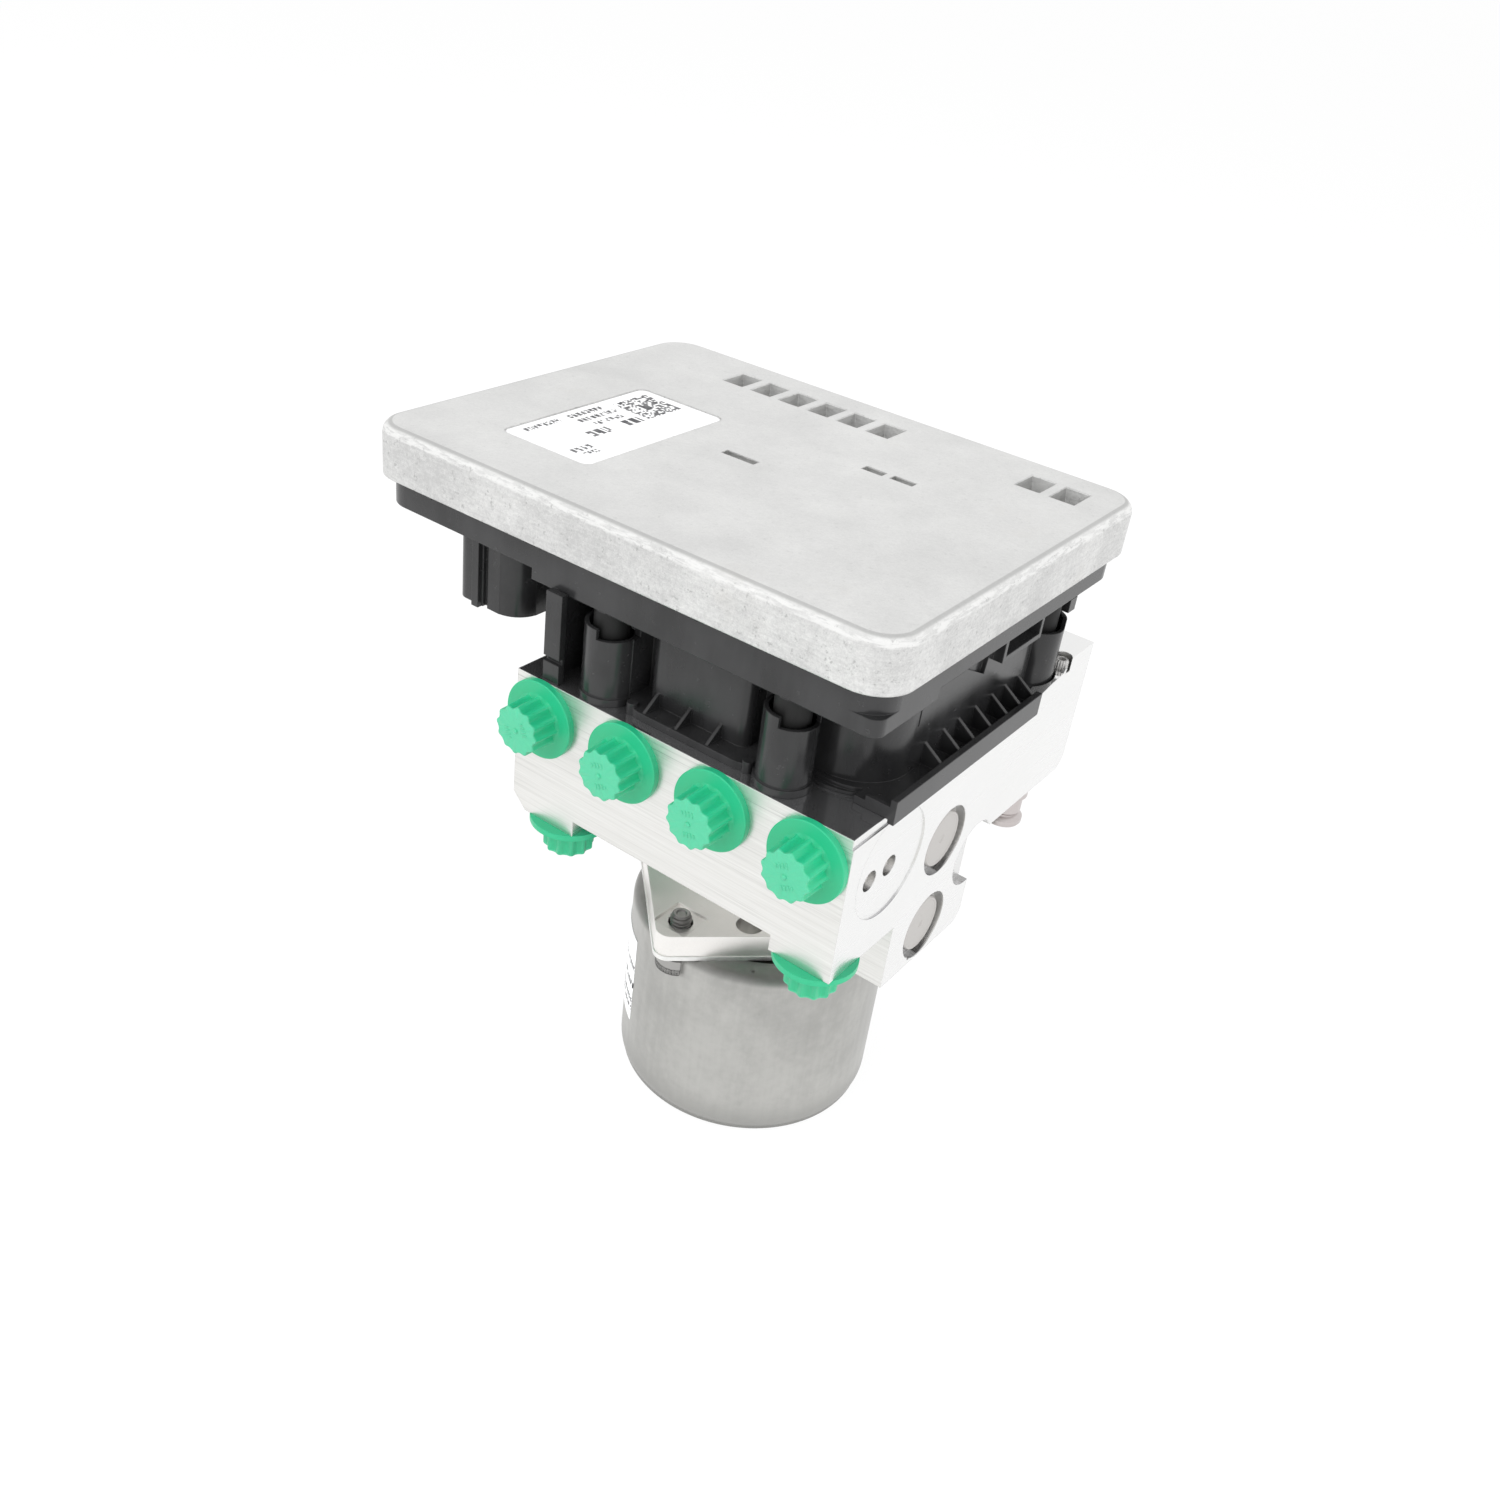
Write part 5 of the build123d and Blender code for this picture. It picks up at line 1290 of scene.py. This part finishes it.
@dataclass
class BlockFittings:
    """The stud below the block's rear corner and the knurled pin on its pad."""

    stud: Pair = (39.0, 46.0)
    under: float = 83.3
    stud_reach: float = 10.6
    shaft_radius: float = 4.1
    collar_radius: float = 4.95
    root_radius: float = 3.48
    neck_radius: float = 3.75
    pin: Pair = (42.0, 51.4)
    pin_level: float = 115.8
    pin_height: float = 2.9
    pin_radius: float = 1.75
    pin_root_radius: float = 1.48
    knurls: int = 16
    points_per_knurl: int = 4
    valley_share: float = 0.90

    def _stud(self) -> bpy.types.Object:
        """Turn the stud with its collar, groove and rounded head.

        Returns:
            The stud.
        """
        under, low = self.under, self.under - self.stud_reach
        shaft, collar, root, neck = (self.shaft_radius, self.collar_radius, self.root_radius,
                                     self.neck_radius)
        bench = Bench("turned_mounting_stud").cylinder(shaft, under - 6.8, under - 2.2, 64,
                                                       self.stud)
        bench.end_face().turn([(shaft, under - 2.2), (collar, under - 2.1), (collar, under - 0.05),
                               (root, under - 0.04), (root, under + 10.4),
                               (root - 0.48, under + 10.9)], self.stud)
        bench.end_face(up=False).turn(
            [(shaft, under - 6.8), (neck, under - 7.3), (neck, under - 7.9), (4.6, under - 8.25),
             (4.96, under - 8.7), (4.96, low + 0.75), (4.7, low + 0.3), (4.2, low + 0.02),
             (1.2, low), (0.9, low + 0.3)], self.stud)
        return bench.done(30.0)

    def _valley(self, p: Vector) -> bool:
        """Whether a point in millimetres lies in a valley of the pin's knurl."""
        step = math.tau / (self.knurls * self.points_per_knurl)
        angle = math.atan2(p.y - self.pin[1], p.x - self.pin[0])
        return round(angle / step) % self.points_per_knurl in (1, 2)

    def _pin(self) -> bpy.types.Object:
        """Turn the pin and press its knurl.

        Returns:
            The pin.
        """
        radius, root = self.pin_radius, self.pin_root_radius
        low, high = self.pin_level, self.pin_level + self.pin_height
        bench = Bench("knurled_locating_pin").cylinder(
            radius, low + 0.3, high - 0.4, self.knurls * self.points_per_knurl, self.pin)
        bench.pick_edges(lambda c, d: abs(d.z) > 0.9)
        bpy.ops.mesh.subdivide(number_cuts=3)
        bench.pick_points(self._valley).swell((self.valley_share, self.valley_share, 1.0),
                                              (*self.pin, low))
        bench.end_face().turn([(radius, high - 0.4), (radius - 0.3, high), (1.05, high),
                               (0.95, high - 1.6)], self.pin)
        bench.end_face(up=False).turn([(radius, low + 0.3), (root, low + 0.29), (root, low - 3.6),
                                       (root - 0.28, low - 3.95)], self.pin)
        return bench.done(30.0)

    def build(self) -> list[bpy.types.Object]:
        """Model the stud and the pin."""
        return [stand_in(self._stud(), "mounting_stud", Palette.STUD),
                stand_in(self._pin(), "locating_pin", Palette.PIN)]


@dataclass
class PressedPlugs:
    """The four plugs of the pump and damper bores, nearly flush in their counterbores."""

    radius: float = 5.85
    head_radius: float = 7.1
    seat: float = 2.5
    root: float = 7.8
    pocket_shade: float = 0.65
    right: float = 44.2
    left: float = -47.8
    rows: tuple[tuple[str, float, float], ...] = (("pump_plugs", 0.0, 67.2),
                                                  ("damper_plugs", 1.2, 91.1))

    def _form(self) -> bpy.types.Object:
        """Turn one plug upright, its outer face at the level of minus its sunk depth.

        Returns:
            The plug.
        """
        face, head, seat = -self.pocket_shade, self.head_radius, -self.seat
        bench = Bench("plug_form").cylinder(self.radius, -self.root, seat, 64)
        bench.end_face().turn([(self.radius, seat), (head - 0.3, seat + 0.001), (head, seat + 0.3),
                               (head, face - 0.4), (head - 0.35, face), (head - 0.8, face + 0.01),
                               (head - 0.95, face - 0.12), (1.1, face - 0.14),
                               (0.8, face - 0.35)])
        bench.end_face(up=False).turn([(self.radius, -self.root),
                                       (self.radius - 0.4, -self.root - 0.1)])
        return bench.done(28.0)

    def build(self) -> list[bpy.types.Object]:
        """Put a plug in both ends of each bore.

        Returns:
            The joined pairs.
        """
        sides = (("right", self.right, 90.0), ("left", self.left, -90.0))
        pairs = []
        for node, y, z in self.rows:
            ends = spread(self._form(), {f"{node}_{side}": at(x, y, z) @ turned(lean, "Y")
                                         for side, x, lean in sides})
            pairs.append(stand_in(joined(ends, "turned_" + node), node, Palette.PLUG))
        return pairs


class Axis(Enum):
    """An axis by its place in a vector."""

    X = 0
    Z = 2


@dataclass(frozen=True)
class CoilSpring:
    """One return spring: its node, the joint that shortens it, its stroke and held end."""

    node: str
    joint: str
    stroke: float
    axis: Axis
    held_above: bool = False


@dataclass
class ReturnSprings:
    """The springs behind the pump and accumulator pistons."""

    pump_stroke: float = 1.4
    accumulator_stroke: float = 8.0

    def _springs(self) -> tuple[CoilSpring, ...]:
        """The four springs."""
        return (
            CoilSpring("pump_spring_right", "pump_stroke_right", self.pump_stroke, Axis.X, True),
            CoilSpring("pump_spring_left", "pump_stroke_left", self.pump_stroke, Axis.X),
            CoilSpring("accumulator_spring_left", "accumulator_stroke_left",
                       self.accumulator_stroke, Axis.Z),
            CoilSpring("accumulator_spring_right", "accumulator_stroke_right",
                       self.accumulator_stroke, Axis.Z))

    def _wire(self, spring: CoilSpring) -> bpy.types.Object:
        """Copy a spring's wire, close its seams and smooth it.

        Args:
            spring: Which spring.

        Returns:
            The piece.
        """
        piece = copied(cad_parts[spring.node], "coiled_" + spring.node, Matrix())
        piece.data.materials.clear()
        return Bench.holding(piece).done(40.0)

    def build(self) -> list[bpy.types.Object]:
        """Make the four springs.

        Returns:
            The springs.
        """
        pieces = []
        for spring in self._springs():
            piece = stand_in(self._wire(spring), spring.node, Palette.STEEL)
            low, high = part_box(spring.node)
            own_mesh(piece)
            pieces.append(piece)
        return pieces


@dataclass
class ConnectorBlades:
    """The harness connector's thirty blades with their tapered tips."""

    centre: Pair = (-67.2, -1.0)
    pitch: Pair = (5.0, 5.6)
    rows: tuple[int, int] = (3, 10)
    width: float = 0.8
    low: float = 126.0
    high: float = 141.0
    taper: Pair = (0.45, 0.6)

    def _blade(self) -> bpy.types.Object:
        """Model one blade with a bevelled, drawn-in tip.

        Returns:
            The blade.
        """
        half = self.width / 2
        bench = Bench("blade_form").block((-half, -half, self.low + 1.2), (half, half, self.high))
        bench.end_face(up=False).push(z=-1.15)
        bench.swell((*self.taper, 1.0), (0.0, 0.0, self.low))
        bench.pick_edges(lambda c, d: abs(d.z) > 0.9).round_off(0.12, 2)
        return bench.done()

    def build(self) -> list[bpy.types.Object]:
        """Copy the blade over the grid.

        Returns:
            The joined blades.
        """
        across, along = self.rows
        blades = spread(self._blade(), {
            f"blade_{i}_{j}": at(self.centre[0] + (i - (across - 1) / 2) * self.pitch[0],
                                 self.centre[1] + (j - (along - 1) / 2) * self.pitch[1], 0.0)
            for i in range(across) for j in range(along)})
        grid = joined(blades, "tapered_connector_blades")
        return [stand_in(grid, "connector_pins", Palette.BRASS)]


# ------------------------------------------------------------------ sub-assemblies
Finishes = dict[Palette, tuple[str, ...]]


@dataclass
class SubAssembly:
    """A group of carried-over nodes with their finishes, and the fittings added to it."""

    title: str
    finishes: Finishes
    fittings: tuple[Fitting, ...]

    def build(self) -> int:
        """Dress the nodes and build the fittings.

        Returns:
            How many pieces were added.
        """
        for finish, nodes in self.finishes.items():
            for node in nodes:
                dress(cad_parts[node], finish)
            LOG.info("%s: %s dressed as %s", self.title, ", ".join(nodes), finish.value.name)
        pieces = [piece for fitting in self.fittings for piece in fitting.build()]
        for piece in pieces:
            LOG.info("%s: %s, %d faces", self.title, piece.name, len(piece.data.polygons))
        return len(pieces)


@dataclass
class ControlUnit(SubAssembly):
    """The cast cover, the moulded housing with its connector, and the electronics inside."""

    title: str = "control unit"
    finishes: Finishes = field(default_factory=lambda: {
        Palette.COVER: ("ecu_cover",),
        Palette.COVER_LABEL: ("cover_label",),
        Palette.SEAL: ("cover_seal", "housing_gasket"),
        Palette.HOUSING: ("ecu_housing",),
        Palette.SCREW: ("housing_screws",),
        Palette.BOARD: ("circuit_board",),
        Palette.CHIP: ("board_chips",),
        Palette.ALLOY: ("board_capacitors",),
        Palette.BRASS: ("connector_pins",),
        Palette.COIL: ("coils_inlet", "coils_outlet", "coils_circuit")})
    fittings: tuple[Fitting, ...] = (ConnectorBlades(),)


@dataclass
class HydraulicBlock(SubAssembly):
    """The milled block with its plugs, valves, pump and accumulators."""

    title: str = "hydraulic block"
    finishes: Finishes = field(default_factory=lambda: {
        Palette.BLOCK: ("valve_block",),
        Palette.CAP: ("cap_wheel_1", "cap_wheel_2", "cap_wheel_3", "cap_wheel_4",
                      "cap_master_1", "cap_master_2"),
        Palette.PLUG: ("pump_plugs", "damper_plugs", "drilling_plugs", "accumulator_caps"),
        Palette.STEEL: ("valves_inlet", "valves_outlet", "valves_circuit", "pressure_sensor",
                        "pump_piston_right", "pump_piston_left", "pump_spring_right",
                        "pump_spring_left", "accumulator_spring_left",
                        "accumulator_spring_right"),
        Palette.ALLOY: ("accumulator_piston_left", "accumulator_piston_right"),
        Palette.STUD: ("mounting_stud", "locating_pin")})
    fittings: tuple[Fitting, ...] = (TransitCaps(), BlockFittings(), PressedPlugs(),
                                     ReturnSprings())


@dataclass
class PumpMotor(SubAssembly):
    """The motor below the block, with its plates, screws, label and moving parts."""

    title: str = "pump motor"
    finishes: Finishes = field(default_factory=lambda: {
        Palette.CAN: ("motor_can",),
        Palette.FLANGE: ("motor_flange",),
        Palette.PLATE: ("adapter_plate",),
        Palette.SCREW: ("plate_screws", "motor_screws"),
        Palette.FERRITE: ("magnets",),
        Palette.STEEL: ("motor_shaft", "eccentric_bearing", "lower_bearing", "upper_bearing",
                        "brush_springs"),
        Palette.CORE: ("armature_core",),
        Palette.COPPER: ("armature_windings", "commutator"),
        Palette.CARBON: ("brushes",),
        Palette.HOLDER: ("brush_holder", "motor_lead"),
        Palette.MOTOR_LABEL: ("motor_label",)})
    fittings: tuple[Fitting, ...] = (MotorFixings(),)


# ------------------------------------------------------------------ studio
@dataclass(frozen=True)
class Lamp:
    """One soft round lamp: where it hangs, how wide it is and its power."""

    name: str
    place: Point
    size: float
    power: float


@dataclass
class Studio:
    """Pale floor, soft lamps and the camera."""

    camera_place: Point = (0.150503, -0.251904, 0.276828)
    camera_turn: Point = (1.008474, -0.116277, 0.642644)
    lens: float = 34.757
    sensor: float = 36.0
    shift: Pair = (0.0013, -0.0004)
    nearest: float = 0.01
    aim: Point = (0.0, 0.0, 0.1)
    lamps: tuple[Lamp, ...] = (Lamp("key_lamp", (-0.42, -0.66, 0.85), 1.6, 12.0),
                               Lamp("fill_lamp", (1.05, -0.22, 0.42), 1.9, 15.0))
    world_level: float = 0.62
    floor_size: float = 80.0
    floor_colour: Colour = (0.92, 0.92, 0.92)
    floor_glow: float = 1.05
    glow_share: float = 0.86

    def camera(self) -> None:
        """Place the camera."""
        data = bpy.data.cameras.new("camera")
        data.lens = self.lens
        data.sensor_width = self.sensor
        data.shift_x, data.shift_y = self.shift
        data.clip_start = self.nearest
        camera = bpy.data.objects.new("camera", data)
        camera.location = self.camera_place
        camera.rotation_euler = self.camera_turn
        bpy.context.collection.objects.link(camera)
        bpy.context.scene.camera = camera

    def light(self) -> None:
        """Hang the lamps, which light the module but don't show in its metal."""
        for lamp in self.lamps:
            data = bpy.data.lights.new(lamp.name, "AREA")
            data.shape = "DISK"
            data.size = lamp.size
            data.energy = lamp.power
            light = bpy.data.objects.new(lamp.name, data)
            light.location = lamp.place
            light.visible_glossy = False
            towards = Vector(self.aim) - Vector(lamp.place)
            light.rotation_euler = towards.to_track_quat("-Z", "Y").to_euler()
            bpy.context.collection.objects.link(light)

    def room(self) -> None:
        """Light the room evenly, and show it white to the camera and in gloss."""
        world = bpy.data.worlds.new("room")
        world.use_nodes = True
        nodes = NodeTree(world.node_tree)
        level = nodes.node("ShaderNodeMapRange", None, {
            "Value": nodes.seen_directly(), "To Min": self.world_level, "To Max": 1.0})
        back = nodes.node("ShaderNodeBackground", None, {"Color": WHITE,
                                                         "Strength": nodes.first(level)})
        nodes.node("ShaderNodeOutputWorld", None, {"Surface": nodes.first(back)})
        bpy.context.scene.world = world
        bpy.context.scene.view_settings.view_transform = "Standard"

    def floor(self) -> None:
        """Lay the pale floor, which keeps the module's shadow."""
        bpy.ops.object.select_all(action="DESELECT")
        bpy.ops.mesh.primitive_plane_add(size=self.floor_size, location=(0.0, 0.0, 0.0))
        floor = bpy.context.object
        floor.name = "floor"
        s = Shader("pale_floor")
        s.dress(Base_Color=self.floor_colour, Roughness=0.9)
        glow = s.node("ShaderNodeEmission", None, {"Color": WHITE, "Strength": self.floor_glow})
        mixed = s.node("ShaderNodeMixShader", None, {0: s.seen_directly() * self.glow_share,
                                                     1: s.first(s.surface), 2: s.first(glow)})
        s.feed(s.output.inputs["Surface"], s.first(mixed))
        floor.data.materials.append(s.material)


def main() -> None:
    """Build the studio, dress the module and note the sizes."""
    logging.basicConfig(level=logging.INFO, format="%(name)s: %(message)s")
    studio = Studio()
    studio.camera()
    studio.light()
    studio.room()
    studio.floor()
    LOG.info("studio ready")
    added = 0
    for assembly in (ControlUnit(), HydraulicBlock(), PumpMotor()):
        added += assembly.build()
    LOG.info("%d nodes carried, %d pieces added", len(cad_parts), added)


if __name__ == "__main__":
    main()
